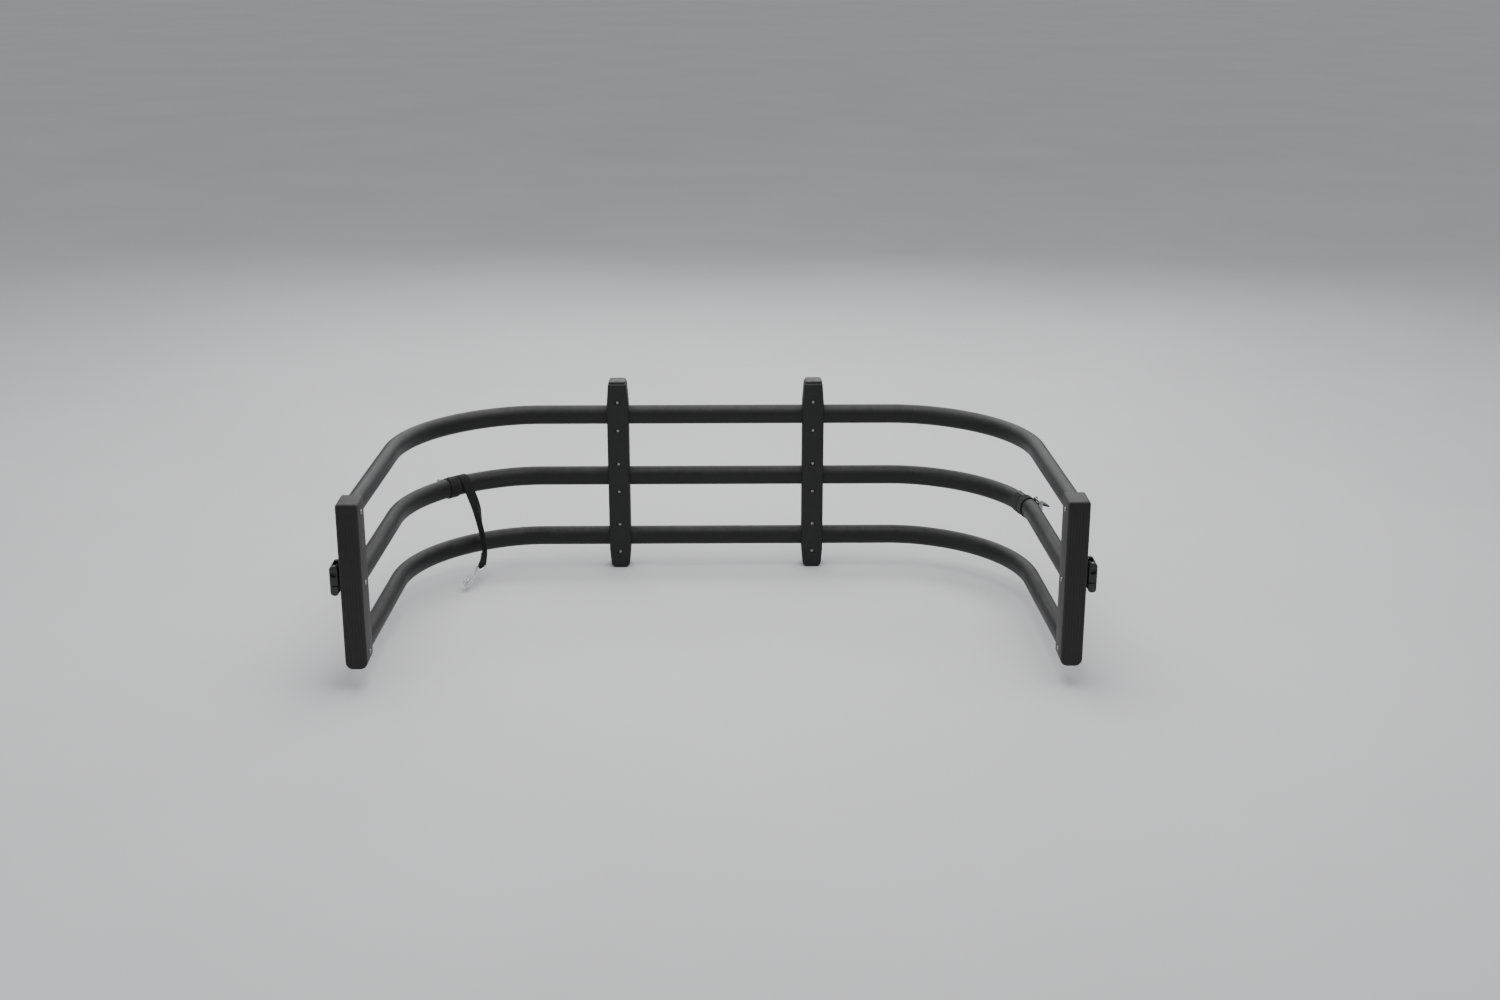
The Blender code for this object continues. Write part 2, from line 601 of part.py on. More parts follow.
for label, side in sides:
    centre, tangent, outward = onLine(strapShare[label], side)
    outer = [ovalRing(centre + tangent * s * webWide / 2, outward,
                      tubeHalfDeep + bandIn + webThick, tubeHalfTall + bandIn + webThick)
             for s in (-1, 1)]
    inner = [ovalRing(centre + tangent * s * webWide / 2, outward, tubeHalfDeep + bandIn,
                      tubeHalfTall + bandIn) for s in (-1, 1)]
    verts, faces = hollowLoft(outer, inner)
    place("strap_loop_%s" % label, verts, faces, "webbing")

    # cam buckle on the outer side, its lever on top of it
    back = tubeHalfDeep + bandIn + webThick + gap
    rings = []
    for out, inset in ((back, 0.001), (back + 0.001, 0.0), (back + buckleDeep, 0.0)):
        ring = roundedRect(buckleHalf - inset, buckleTall / 2 - inset, (0.003,) * 4, 2)
        rings.append(centre + outward * out + np.outer(ring[:, 0], tangent)
                     + np.outer(ring[:, 1], up))
    verts, faces = solidLoft(rings)
    body = place("buckle_%s" % label, verts, faces, "steel")

    def local(along, out, lift):
        return centre + tangent * along + outward * out + up * lift

    def slab(a0, a1, o0, o1, l0, l1):
        base = [(a0, o0), (a1, o0), (a1, o1), (a0, o1)]
        return solidLoft([[local(a, o, z) for a, o in base] for z in (l0, l1)])

    leverAxis = local(0.0, back + 0.0062, 0.0080)
    cut(body, "cut_buckle_%s_bay" % label,
        [slab(-leverHalf - 0.0008, leverHalf + 0.0008, back + 0.0022, back + buckleDeep + 0.002,
              -0.019, 0.019)])
    cut(body, "cut_buckle_%s_slots" % label,
        [slab(-webWide / 2 - 0.0005, webWide / 2 + 0.0005, back - 0.002, back + 0.004, z0, z0 + 0.0030)
         for z0 in (-0.0135, 0.0105)])
    # lever outline round its own pin: barrel arc, then the thumb tab and its lip
    outline = []
    for step in range(9):
        angle = math.radians(75 + 210 * step / 8)
        outline.append((barrel * math.cos(angle), barrel * math.sin(angle)))
    outline += [(0.0050, -0.0048), (0.0200, -0.0095), (0.0225, -0.0075), (0.0215, -0.0055),
                (0.0060, 0.0005)]
    leverRings = []
    for along in (-leverHalf, leverHalf):
        leverRings.append([leverAxis + tangent * along + outward * a + up * b
                           for a, b in outline])
    verts, faces = solidLoft(leverRings)
    place("buckle_lever_%s" % label, verts, faces, "cap", origin=leverAxis)

    # webbing route, then the wire hook on its end loop
    ride = bandIn + webThick / 2 + 0.0002
    turnCentre, turnTangent, turnOut = onLine(strapShare[label] - turnShift, side)

    def onTube(degrees, lift, drift):
        angle = math.radians(degrees)
        return (turnCentre + turnTangent * drift
                + turnOut * (tubeHalfDeep + lift) * math.cos(angle)
                + up * (tubeHalfTall + lift) * math.sin(angle))

    route = []
    across = []
    folds = []
    if label == "left":
        for degrees in (40, 55, 70, 85, 100, 115, 130, 145, 158):
            route.append(onTube(degrees, ride, -0.0045 * max(0.0, (degrees - 85) / 73)))
            across.append(turnTangent)
            folds.append(0.0)
        aimFlat = math.atan2(hookAim[1], hookAim[0])
        start = math.atan2(turnTangent[1], turnTangent[0])
        for along, out, lift, fold in hanging:
            route.append(turnCentre + turnTangent * along + up * lift
                         + turnOut * (out - tubeHalfDeep))
            share = fold / 84
            angle = start + (aimFlat - start) * share
            across.append(np.array((math.cos(angle), math.sin(angle), 0.0)))
            folds.append(math.radians(fold))
        awaySign = 1.0
    else:
        for step in range(17):
            degrees = 110 + 228 * step / 16
            fold = foldMost * min(1.0, max(0.0, (degrees - 250) / 62))
            free = max(0.0, (degrees - 270) / 68)
            lift = ride + webWide / 4 * math.sin(fold) + 0.0062 * free * free
            route.append(onTube(degrees, lift, 0.0))
            across.append(turnTangent)
            folds.append(fold)
        awaySign = -1.0
    travel = route[-1] - route[-2]
    travel = travel / np.linalg.norm(travel)
    away = across[-1] - travel * np.dot(across[-1], travel)
    barLine = np.cross(travel, away)
    away = away * awaySign / np.linalg.norm(away)
    barLine = barLine / np.linalg.norm(barLine)
    barAt = route[-1] + away * loopRadius
    if label == "left":
        hookLine = hookAim - barLine * np.dot(hookAim, barLine)
        hookUp = np.cross(barLine, hookLine)
        hookUp = hookUp if hookUp[2] > 0 else -hookUp
    else:
        hookLine = travel * math.cos(rightSwing) + away * math.sin(rightSwing)
        hookUp = away * math.cos(rightSwing) - travel * math.sin(rightSwing)
    hookLine = hookLine / np.linalg.norm(hookLine)
    hookUp = hookUp / np.linalg.norm(hookUp)
    for step in range(1, 8):
        angle = math.radians(250 * step / 7)
        route.append(barAt - away * loopRadius * math.cos(angle)
                     + travel * loopRadius * math.sin(angle))
        heading = away * math.sin(angle) + travel * math.cos(angle)
        across.append(np.cross(barLine, heading))
        folds.append(foldMost)
    verts, faces = webbing(route, across, folds)
    place("strap_webbing_%s" % label, verts, faces, "webbing")

    half = webWide / 4 + hookWire + 0.0016
    end = hookLong - hookBend
    arm = [(0.0, half - 0.0035, 0.0), (0.0008, half - 0.0010, 0.0), (0.0030, half, 0.0),
           (0.0095, half - 0.0006, 0.0), (0.019, 0.0056, 0.0), (0.027, hookNear, 0.0),
           (end, hookNear, 0.0)]
    for step in range(1, 6):
        angle = math.pi * step / 5
        arm.append((end + hookBend * math.sin(angle), hookNear,
                    hookBend * (1 - math.cos(angle))))
    arm.append((end - hookBack, hookNear, 2 * hookBend + 0.0005))
    points = [(l, -b, h) for l, b, h in arm[::-1]] + arm
    path = [barAt + hookLine * l + barLine * b + hookUp * h for l, b, h in points]
    verts, faces = wire(path, hookWire)
    place("strap_hook_%s" % label, verts, faces, "steel", origin=barAt)
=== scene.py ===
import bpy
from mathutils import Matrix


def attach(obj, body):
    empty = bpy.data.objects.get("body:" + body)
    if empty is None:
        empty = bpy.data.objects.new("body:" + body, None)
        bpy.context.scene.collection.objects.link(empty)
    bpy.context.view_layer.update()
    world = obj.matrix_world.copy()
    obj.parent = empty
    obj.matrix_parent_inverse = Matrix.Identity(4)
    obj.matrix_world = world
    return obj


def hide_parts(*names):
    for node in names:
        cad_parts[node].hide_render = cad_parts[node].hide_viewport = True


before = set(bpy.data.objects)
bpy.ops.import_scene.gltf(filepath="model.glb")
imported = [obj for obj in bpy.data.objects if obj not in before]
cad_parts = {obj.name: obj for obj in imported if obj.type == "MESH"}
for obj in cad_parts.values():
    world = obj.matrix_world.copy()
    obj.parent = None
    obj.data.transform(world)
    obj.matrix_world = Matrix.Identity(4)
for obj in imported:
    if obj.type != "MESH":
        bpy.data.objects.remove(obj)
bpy.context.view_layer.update()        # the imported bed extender, in metres, everything at rest

import math
import bpy
import numpy as np

up = np.array((0.0, 0.0, 1.0))
sides = (("left", -1.0), ("right", 1.0))
rows = (("top", 0.1488), ("mid", 0.0), ("low", -0.1488))

# ---- camera, standing behind the tailgate and looking down into the bed
viewpoint = {"place": (0.0258, -3.6416, 1.3564), "tilt": 18.04, "swing": 0.722, "lens": 46.36}


def setCamera(settings):
    lens = bpy.data.cameras.new("viewCamera")
    lens.sensor_width = 36.0
    lens.lens = settings["lens"]
    eye = bpy.data.objects.new("viewCamera", lens)
    bpy.context.scene.collection.objects.link(eye)
    eye.location = settings["place"]
    eye.rotation_euler = (math.radians(90 - settings["tilt"]), 0.0,
                          -math.radians(settings["swing"]))
    bpy.context.scene.camera = eye


setCamera(viewpoint)


# ---- rings, lofts and lathed forms; a grid is rings x points x 3
def unit(vector):
    vector = np.asarray(vector, float)
    return vector / np.linalg.norm(vector, axis=-1, keepdims=True)


def smoothPath(points, steps):
    # each stretch is the cubic that passes its two ends with the slope of their neighbours
    points = np.asarray(points, float)
    padded = np.vstack((2 * points[0] - points[1], points, 2 * points[-1] - points[-2]))
    t = (np.arange(steps) / steps)[None, :, None]
    a, b, c, d = (padded[k:len(padded) - 3 + k, None, :] for k in range(4))
    curve = 0.5 * (2 * b + (c - a) * t + (2 * a - 5 * b + 4 * c - d) * t ** 2
                   + (3 * b - a - 3 * c + d) * t ** 3)
    return np.vstack((curve.reshape(-1, points.shape[1]), points[-1]))


def ovalRings(centres, across, halfDeep, halfTall, segs=56):
    # ellipse round each centre: cosine along its across direction, sine straight up
    turn = 2 * np.pi * (np.arange(segs) + 0.5) / segs
    return (np.asarray(centres, float)[:, None, :]
            + np.cos(turn)[None, :, None] * halfDeep * np.asarray(across, float)[:, None, :]
            + np.sin(turn)[None, :, None] * halfTall * up)


def roundedOutline(halfA, halfB, radii, segs=8):
    # rectangle whose corners (+,+) (-,+) (-,-) (+,-) are quarter circles of their own radius
    corner = np.repeat(np.arange(4), segs + 1)
    turn = np.pi / 2 * (corner + np.tile(np.arange(segs + 1) / segs, 4))
    radius = np.asarray(radii, float)[corner]
    signA = np.array((1, -1, -1, 1))[corner]
    signB = np.array((1, 1, -1, -1))[corner]
    return np.column_stack((signA * (halfA - radius) + radius * np.cos(turn),
                            signB * (halfB - radius) + radius * np.sin(turn)))


def lathed(base, axis, profile, segs=40):
    # circle of radius r at distance d along the axis for every (d, r) of the profile
    axis = unit(axis)
    first = unit(np.cross(axis, up if abs(axis[2]) < 0.9 else (1.0, 0.0, 0.0)))
    second = np.cross(axis, first)
    turn = 2 * np.pi * (np.arange(segs) + 0.5) / segs
    profile = np.asarray(profile, float)
    rim = np.cos(turn)[:, None] * first + np.sin(turn)[:, None] * second
    return (np.asarray(base, float) + profile[:, 0, None, None] * axis
            + profile[:, 1, None, None] * rim[None])


def wireRings(path, radius, segs=14):
    # circle square to the path at each point, its frame carried along without twisting
    along = unit(np.gradient(path, axis=0))
    turn = 2 * np.pi * np.arange(segs) / segs
    radius = np.broadcast_to(radius, len(path))
    side = unit(np.cross(along[0], (0.31, 0.95, 0.05)))
    rings = []
    for centre, ahead, thick in zip(path, along, radius):
        side = unit(side - ahead * np.dot(side, ahead))
        rings.append(centre + thick * (np.outer(np.cos(turn), side)
                                       + np.outer(np.sin(turn), np.cross(ahead, side))))
    return np.array(rings)


def loft(grid, closed=False, uv=None):
    # quads between neighbouring rings; closed joins last ring to first, else flat ends
    count, size = grid.shape[:2]
    low = np.arange(count if closed else count - 1)[:, None]
    k = np.arange(size)[None, :]
    high, following = (low + 1) % count, (k + 1) % size
    corners = (low * size + k, low * size + following, high * size + following, high * size + k)
    quads = np.stack(np.broadcast_arrays(*corners), -1).reshape(-1, 4)
    faces = quads.tolist()
    if not closed:
        faces += [list(range(size))[::-1], list(range((count - 1) * size, count * size))]
    points = grid.reshape(-1, 3)
    turns = [points[quads[:, n]] for n in range(4)]
    volume = (np.einsum("ij,ij->i", turns[0], np.cross(turns[1], turns[2])).sum()
              + np.einsum("ij,ij->i", turns[0], np.cross(turns[2], turns[3])).sum())
    for face in (() if closed else faces[-2:]):
        rim = points[face]
        volume += np.einsum("ij,ij->i", np.cross(rim, np.roll(rim, -1, axis=0)),
                            np.broadcast_to(rim.mean(axis=0), rim.shape)).sum()
    marks = None
    if uv is not None:           # uv gives a length for every ring and every point of a ring
        u, v = uv
        marks = np.stack((np.stack((u[low + 0 * k], u[low + 0 * k], u[low + 1 + 0 * k],
                                    u[low + 1 + 0 * k]), -1),
                          np.stack((v[k + 0 * low], v[k + 1 + 0 * low], v[k + 1 + 0 * low],
                                    v[k + 0 * low]), -1)), -1).reshape(-1, 4, 2)
        marks = marks.tolist() + ([] if closed else [[[0.0, 0.0]] * size] * 2)
    if volume < 0:
        faces = [face[::-1] for face in faces]
        marks = None if marks is None else [mark[::-1] for mark in marks]
    return points, faces, marks


def pipe(outer, inner):
    return loft(np.concatenate((outer, inner[::-1])), closed=True)


def joined(parts):
    points, faces, marks, count = [], [], [], 0
    for these, loops, uv in parts:
        points.append(these)
        faces += [[index + count for index in loop] for loop in loops]
        marks += uv if uv is not None else [[[0.0, 0.0]] * len(loop) for loop in loops]
        count += len(these)
    return np.concatenate(points), faces, marks


def rawObject(name, shape):
    points, faces, marks = shape
    mesh = bpy.data.meshes.new(name)
    mesh.from_pydata(np.asarray(points).tolist(), [], faces)
    if marks is not None:
        layer = mesh.uv_layers.new(name="lay")
        layer.data.foreach_set("uv", np.array([c for loop in marks for c in loop]).ravel())
    mesh.update()
    made = bpy.data.objects.new(name, mesh)
    bpy.context.scene.collection.objects.link(made)
    return made


def carve(piece, cutters):
    # takes the cutters out of the piece and keeps the result as its mesh
    tool = rawObject(piece.name + "Tool", joined(cutters))
    change = piece.modifiers.new("carve", "BOOLEAN")
    change.operation = "DIFFERENCE"
    change.solver = "EXACT"
    change.object = tool
    depsgraph = bpy.context.evaluated_depsgraph_get()
    result = bpy.data.meshes.new_from_object(piece.evaluated_get(depsgraph))
    piece.modifiers.remove(change)
    piece.data = result
    bpy.data.objects.remove(tool, do_unlink=True)


def finishPiece(piece, finish, body, nodes=(), sharp=38, bevel=0.0):
    # shading, one surface finish, the body it rides on and the nodes it stands for
    piece.data.materials.clear()
    piece.data.materials.append(finish)
    piece.data.shade_smooth()
    piece.data.set_sharp_from_angle(angle=math.radians(sharp))
    if bevel:
        edge = piece.modifiers.new("softEdges", "BEVEL")
        edge.width = bevel
        edge.segments = 2
        edge.limit_method = "ANGLE"
        edge.angle_limit = math.radians(50)
        edge.harden_normals = True
    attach(piece, body)
    if nodes:
        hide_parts(*nodes)
    return piece


# ---- surface finishes
class Signal:
    # a shader socket that takes part in sums; node() adds any other kind of node
    def __init__(self, tree, socket=None):
        self.tree = tree
        self.socket = socket

    def node(self, kind, inputs=None, output=0, **settings):
        made = self.tree.nodes.new("ShaderNode" + kind)
        for key, value in settings.items():
            setattr(made, key, value)
        for key, value in (inputs or {}).items():
            self.feed(made.inputs[key], value)
        return Signal(self.tree, made.outputs[output])

    def feed(self, target, value):
        if isinstance(value, Signal):
            self.tree.links.new(value.socket, target)
        else:
            target.default_value = value

    def maths(self, operation, first, second):
        return self.node("Math", {0: first, 1: second}, operation=operation)

    def __add__(self, other):
        return self.maths("ADD", self, other)

    def __radd__(self, other):
        return self.maths("ADD", other, self)

    def __sub__(self, other):
        return self.maths("SUBTRACT", self, other)

    def __rsub__(self, other):
        return self.maths("SUBTRACT", other, self)

    def __mul__(self, other):
        return self.maths("MULTIPLY", self, other)

    def __rmul__(self, other):
        return self.maths("MULTIPLY", other, self)


def newFinish(name, metallic=0.0, roughness=0.5, specular=0.5, sheen=0.0):
    finish = bpy.data.materials.new(name)
    finish.use_nodes = True
    shader = finish.node_tree.nodes["Principled BSDF"]
    shader.inputs["Metallic"].default_value = metallic
    shader.inputs["Roughness"].default_value = roughness
    shader.inputs["Specular IOR Level"].default_value = specular
    shader.inputs["Sheen Weight"].default_value = sheen
    shader.inputs["Sheen Roughness"].default_value = 0.45
    return finish, shader, Signal(finish.node_tree)


def grainOf(start, scale, detail=3.0, rough=0.55, stretch=None):
    # noise on object coordinates, features about 1/scale metres across
    place = start.node("TexCoord", output="Object")
    if stretch is not None:
        place = start.node("Mapping", {"Vector": place, "Scale": stretch})
    return start.node("TexNoise", {"Vector": place, "Scale": scale, "Detail": detail,
                                   "Roughness": rough})


def between(signal, low, high, first=0.0, last=1.0):
    # straight line from first to last while the signal goes low to high, held outside
    return signal.node("MapRange", {"Value": signal, "From Min": low, "From Max": high,
                                    "To Min": first, "To Max": last})


def blendColours(share, first, second):
    return share.node("Mix", {0: share, 6: first, 7: second}, output=2, data_type="RGBA")


def grey(level, warm=0.0):
    return (level * (1 + warm), level, level * (1 - warm), 1.0)


def raised(start, layers):
    # adds up bump layers given as (height signal, distance in metres)
    normal = None
    for height, distance in layers:
        inputs = {"Height": height, "Distance": distance, "Strength": 1.0}
        if normal is not None:
            inputs["Normal"] = normal
        normal = start.node("Bump", inputs)
    return normal


def facing(start):
    # how much the surface looks up: 1 on top, 0 on the flanks and below
    parts = start.node("SeparateXYZ", {"Vector": start.node("TexCoord", output="Normal")},
                       output="Z")
    return between(parts, 0.15, 1.0)


def powderCoat(name, look):
    # baked powder coat: faint orange peel, cloudy gloss, dust with a painted highlight on top,
    # hair scratches
    finish, shader, start = newFinish(name, 0.0, look["gloss"], look["specular"])
    cloud = grainOf(start, 9.0, 4.0)
    peel = grainOf(start, 950.0, 2.0)
    speck = between(grainOf(start, 2600.0, 2.0), 0.60, 0.72)
    hair = between(grainOf(start, 60.0, 5.0, 0.7, (1.0, 9.0, 14.0)), 0.655, 0.70)
    # lighter grey on upward faces in noise patches: dust, and a painted highlight on the tops
    dustAndTopHighlight = facing(start) * between(grainOf(start, 45.0, 6.0, 0.65), 0.38, 0.72) * look["dustAndTopHighlight"]
    base = blendColours(between(cloud, 0.3, 0.7), grey(look["dark"], look["warm"]),
                        grey(look["light"], look["warm"]))
    base = blendColours(hair * look["scratch"], base, grey(0.16))
    base = blendColours(speck * 0.10, base, grey(0.10))
    # grey(0.24) is the colour of the dust and the painted top highlight
    base = blendColours(dustAndTopHighlight, base, grey(0.24, 0.04))
    start.feed(shader.inputs["Base Color"], base)
    start.feed(shader.inputs["Roughness"],
               look["gloss"] + (cloud - 0.5) * 0.16 + dustAndTopHighlight * 0.5 + speck * 0.05)
    start.feed(shader.inputs["Normal"],
               raised(start, ((peel, look["peel"]), (cloud, 0.0002), (hair, -0.00002))))
    return finish


def mouldedNylon(name, look):
    # glass-filled nylon: leathery grain, swirls of the melt, scuffed and a little faded, with
    # dust and a painted highlight on top
    finish, shader, start = newFinish(name, 0.0, look["gloss"], 0.42)
    grain = start.node("TexVoronoi", {"Vector": start.node("TexCoord", output="Object"),
                                      "Scale": 1150.0, "Randomness": 1.0},
                       feature="SMOOTH_F1")
    fine = grainOf(start, 2400.0, 2.0)
    swirl = grainOf(start, 24.0, 6.0, 0.6, (1.0, 1.0, 0.35))
    scuff = between(grainOf(start, 85.0, 7.0, 0.72, (3.0, 3.0, 1.0)), 0.60, 0.70)
    # lighter grey on upward faces in noise patches: dust, and a painted highlight on the tops
    dustAndTopHighlight = facing(start) * between(grainOf(start, 60.0, 5.0), 0.4, 0.7) * look["dustAndTopHighlight"]
    base = blendColours(between(swirl, 0.32, 0.68), grey(look["dark"]), grey(look["light"]))
    base = blendColours(scuff * look["scuff"], base, grey(0.085))
    # grey(0.22) is the colour of the dust and the painted top highlight
    base = blendColours(dustAndTopHighlight, base, grey(0.22, 0.05))
    start.feed(shader.inputs["Base Color"], base)
    start.feed(shader.inputs["Roughness"],
               look["gloss"] + (swirl - 0.5) * 0.2 + (grain - 0.4) * 0.08 + scuff * 0.1)
    start.feed(shader.inputs["Normal"],
               raised(start, ((grain, look["grain"]), (fine, 0.00004), (swirl, 0.0003))))
    return finish


def platedSteel(name, look):
    # zinc plate: drawn lines, cloudy grey patches, dull film in noise patches
    finish, shader, start = newFinish(name, 1.0, look["gloss"])
    lines = grainOf(start, 700.0, 3.0, 0.6, look["draw"])
    cloud = grainOf(start, 130.0, 4.0, 0.6)
    film = between(grainOf(start, 260.0, 5.0, 0.7), 0.52, 0.70)
    base = blendColours(between(cloud, 0.35, 0.65), grey(look["dark"], 0.01),
                        grey(look["light"], -0.01))
    base = blendColours(film * look["film"], base, grey(0.13, 0.09))
    start.feed(shader.inputs["Base Color"], base)
    start.feed(shader.inputs["Metallic"], 1.0 - film * look["film"] * 0.6)
    start.feed(shader.inputs["Roughness"], look["gloss"] + (cloud - 0.5) * 0.25 + film * 0.2)
    start.feed(shader.inputs["Normal"], raised(start, ((lines, 0.00002), (film, -0.00002))))
    return finish


def wovenStrap(name, look):
    # polyester webbing on the strip's own lay: u runs along it and v across, in metres
    finish, shader, start = newFinish(name, 0.0, 0.8, 0.25, sheen=0.10)
    lay = start.node("UVMap", uv_map="lay")
    u = start.node("SeparateXYZ", {"Vector": lay}, output="X")
    v = start.node("SeparateXYZ", {"Vector": lay}, output="Y")
    # chevrons: picks lean one way, then the other, every fold of the width
    fold = start.node("Math", {0: v, 1: look["fold"]}, operation="PINGPONG")
    slant = (u + fold * 0.9) * (2 * math.pi / look["pick"])
    pick = start.node("Math", {0: slant}, operation="SINE") * 0.5 + 0.5
    ends = start.node("Math", {0: v * (2 * math.pi / look["end"])}, operation="SINE") * 0.5 + 0.5
    yarn = pick * (0.55 + ends * 0.45)
    fuzz = grainOf(start, 2200.0, 4.0, 0.7)
    fade = grainOf(start, 55.0, 5.0, 0.6)
    lint = between(grainOf(start, 640.0, 3.0, 0.7), 0.64, 0.72)
    base = blendColours(yarn * 0.75 + (fuzz - 0.5) * 0.5, grey(look["dark"]),
                        grey(look["light"]))
    base = blendColours(between(fade, 0.35, 0.75) * 0.35, base, grey(look["faded"], 0.03))
    base = blendColours(lint * 0.16, base, grey(0.12, 0.02))
    start.feed(shader.inputs["Base Color"], base)
    start.feed(shader.inputs["Roughness"], 0.72 + yarn * 0.12 + (fuzz - 0.5) * 0.2)
    start.feed(shader.inputs["Normal"], raised(start, ((yarn, 0.00035), (fuzz, 0.00010))))
    return finish


finishes = {
    "tube": powderCoat("tubePowderCoat", {"dark": 0.0048, "light": 0.0072, "warm": 0.0,
                                          "gloss": 0.50, "specular": 0.34, "peel": 0.00005,
                                          "dustAndTopHighlight": 0.10, "scratch": 0.22}),
    "post": powderCoat("postNylon", {"dark": 0.0125, "light": 0.0165, "warm": 0.06,
                                     "gloss": 0.56, "specular": 0.34, "peel": 0.00004,
                                     "dustAndTopHighlight": 0.12, "scratch": 0.10}),
    "bracket": powderCoat("bracketPaint", {"dark": 0.011, "light": 0.017, "warm": 0.0,
                                           "gloss": 0.42, "specular": 0.5,
                                           "peel": 0.00006, "dustAndTopHighlight": 0.22, "scratch": 0.9}),
    "nylon": mouldedNylon("uprightNylon", {"dark": 0.0062, "light": 0.0092, "gloss": 0.62,
                                           "grain": 0.00008, "dustAndTopHighlight": 0.10, "scuff": 0.22}),
    "cap": mouldedNylon("capNylon", {"dark": 0.0100, "light": 0.0150, "gloss": 0.54,
                                     "grain": 0.00006, "dustAndTopHighlight": 0.22, "scuff": 0.40}),
    "lever": mouldedNylon("leverNylon", {"dark": 0.0070, "light": 0.0110, "gloss": 0.40,
                                         "grain": 0.00004, "dustAndTopHighlight": 0.08, "scuff": 0.50}),
    "screw": platedSteel("screwZinc", {"dark": 0.26, "light": 0.42, "gloss": 0.36,
                                       "film": 0.45, "draw": (1.0, 1.0, 1.0)}),
    "stud": platedSteel("studZinc", {"dark": 0.42, "light": 0.60, "gloss": 0.30,
                                     "film": 0.35, "draw": (6.0, 1.0, 1.0)}),
    "wire": platedSteel("hookWire", {"dark": 0.56, "light": 0.78, "gloss": 0.30,
                                     "film": 0.25, "draw": (1.0, 1.0, 0.2)}),
    "buckle": platedSteel("buckleZinc", {"dark": 0.30, "light": 0.46, "gloss": 0.38,
                                         "film": 0.40, "draw": (1.0, 1.0, 5.0)}),
    "joiner": platedSteel("joinerAlloy", {"dark": 0.40, "light": 0.55, "gloss": 0.40,
                                          "film": 0.30, "draw": (0.2, 1.0, 1.0)}),
    "strap": wovenStrap("strapWebbing", {"dark": 0.0042, "light": 0.012, "faded": 0.018,
                                         "pick": 0.0017, "end": 0.0011, "fold": 0.0041}),
    "thread": wovenStrap("strapThread", {"dark": 0.014, "light": 0.030, "faded": 0.045,
                                         "pick": 0.0006, "end": 0.0005, "fold": 0.0010}),
    "dip": mouldedNylon("vinylDip", {"dark": 0.0060, "light": 0.0085, "gloss": 0.34,
                                     "grain": 0.00003, "dustAndTopHighlight": 0.06, "scuff": 0.25}),
}
print("finishes:", len(finishes))

# ---- tubes: ellipse carried along straight, gentle arc, corner arc and leg
tubing = {"halfTall": 0.02225, "halfDeep": 0.0185, "wall": 0.002, "reach": 0.7156,
          "gentleRadius": 0.262, "gentleTurn": math.radians(20.5),
          "cornerRadius": 0.3246, "cornerTurn": math.radians(67.3),
          "endY": -0.012, "postX": 0.72225, "postHalfDeep": 0.033,
          "uprightX": 0.2275, "seam": 0.00015, "screwHole": 0.0027, "studHole": 0.0053}
legHeading = tubing["gentleTurn"] + tubing["cornerTurn"]
legStartY = (tubing["reach"] - tubing["gentleRadius"] * (1 - math.cos(tubing["gentleTurn"]))
             - tubing["cornerRadius"] * (math.cos(tubing["gentleTurn"])
                                         - math.cos(legHeading)))
straightHalf = (tubing["postX"] - tubing["gentleRadius"] * math.sin(tubing["gentleTurn"])
                - tubing["cornerRadius"] * (math.sin(legHeading)
                                            - math.sin(tubing["gentleTurn"]))
                - (legStartY - (tubing["postHalfDeep"] + tubing["endY"]) / 2)
                / math.tan(legHeading))
cornerStart = (straightHalf + tubing["gentleRadius"] * math.sin(tubing["gentleTurn"]),
               tubing["reach"] - tubing["gentleRadius"] * (1 - math.cos(tubing["gentleTurn"])))


def planLine():
    # heading runs 0 to gentleTurn on one radius, then to legHeading on the other
    soft = tubing["gentleTurn"] * np.arange(9) / 8
    hard = tubing["gentleTurn"] + tubing["cornerTurn"] * np.arange(1, 37) / 36
    x = np.concatenate((straightHalf + tubing["gentleRadius"] * np.sin(soft),
                        cornerStart[0] + tubing["cornerRadius"]
                        * (np.sin(hard) - math.sin(tubing["gentleTurn"]))))
    y = np.concatenate((tubing["reach"] - tubing["gentleRadius"] * (1 - np.cos(soft)),
                        cornerStart[1] - tubing["cornerRadius"]
                        * (math.cos(tubing["gentleTurn"]) - np.cos(hard))))
    heading = np.concatenate((soft, hard))
    run = (y[-1] - tubing["endY"]) / math.sin(legHeading)
    share = np.array((0.5, 1.0))
    return (np.append(x, x[-1] + share * run * math.cos(legHeading)),
            np.append(y, y[-1] - share * run * math.sin(legHeading)),
            np.append(heading, (legHeading, legHeading)))


def onCorner(share, side):
    # centre, tangent and outward direction on the corner arc
    angle = tubing["gentleTurn"] + tubing["cornerTurn"] * share
    x = cornerStart[0] + tubing["cornerRadius"] * (math.sin(angle)
                                                   - math.sin(tubing["gentleTurn"]))
    y = cornerStart[1] - tubing["cornerRadius"] * (math.cos(tubing["gentleTurn"])
                                                   - math.cos(angle))
    return (np.array((side * x, y, 0.0)),
            np.array((side * math.cos(angle), -math.sin(angle), 0.0)),
            np.array((side * math.sin(angle), math.cos(angle), 0.0)))


def hollowOval(centres, across, inset=0.0, wall=tubing["wall"]):
    deep, tall = tubing["halfDeep"] - inset, tubing["halfTall"] - inset
    return pipe(ovalRings(centres, across, deep, tall),
                ovalRings(centres, across, deep - wall, tall - wall))


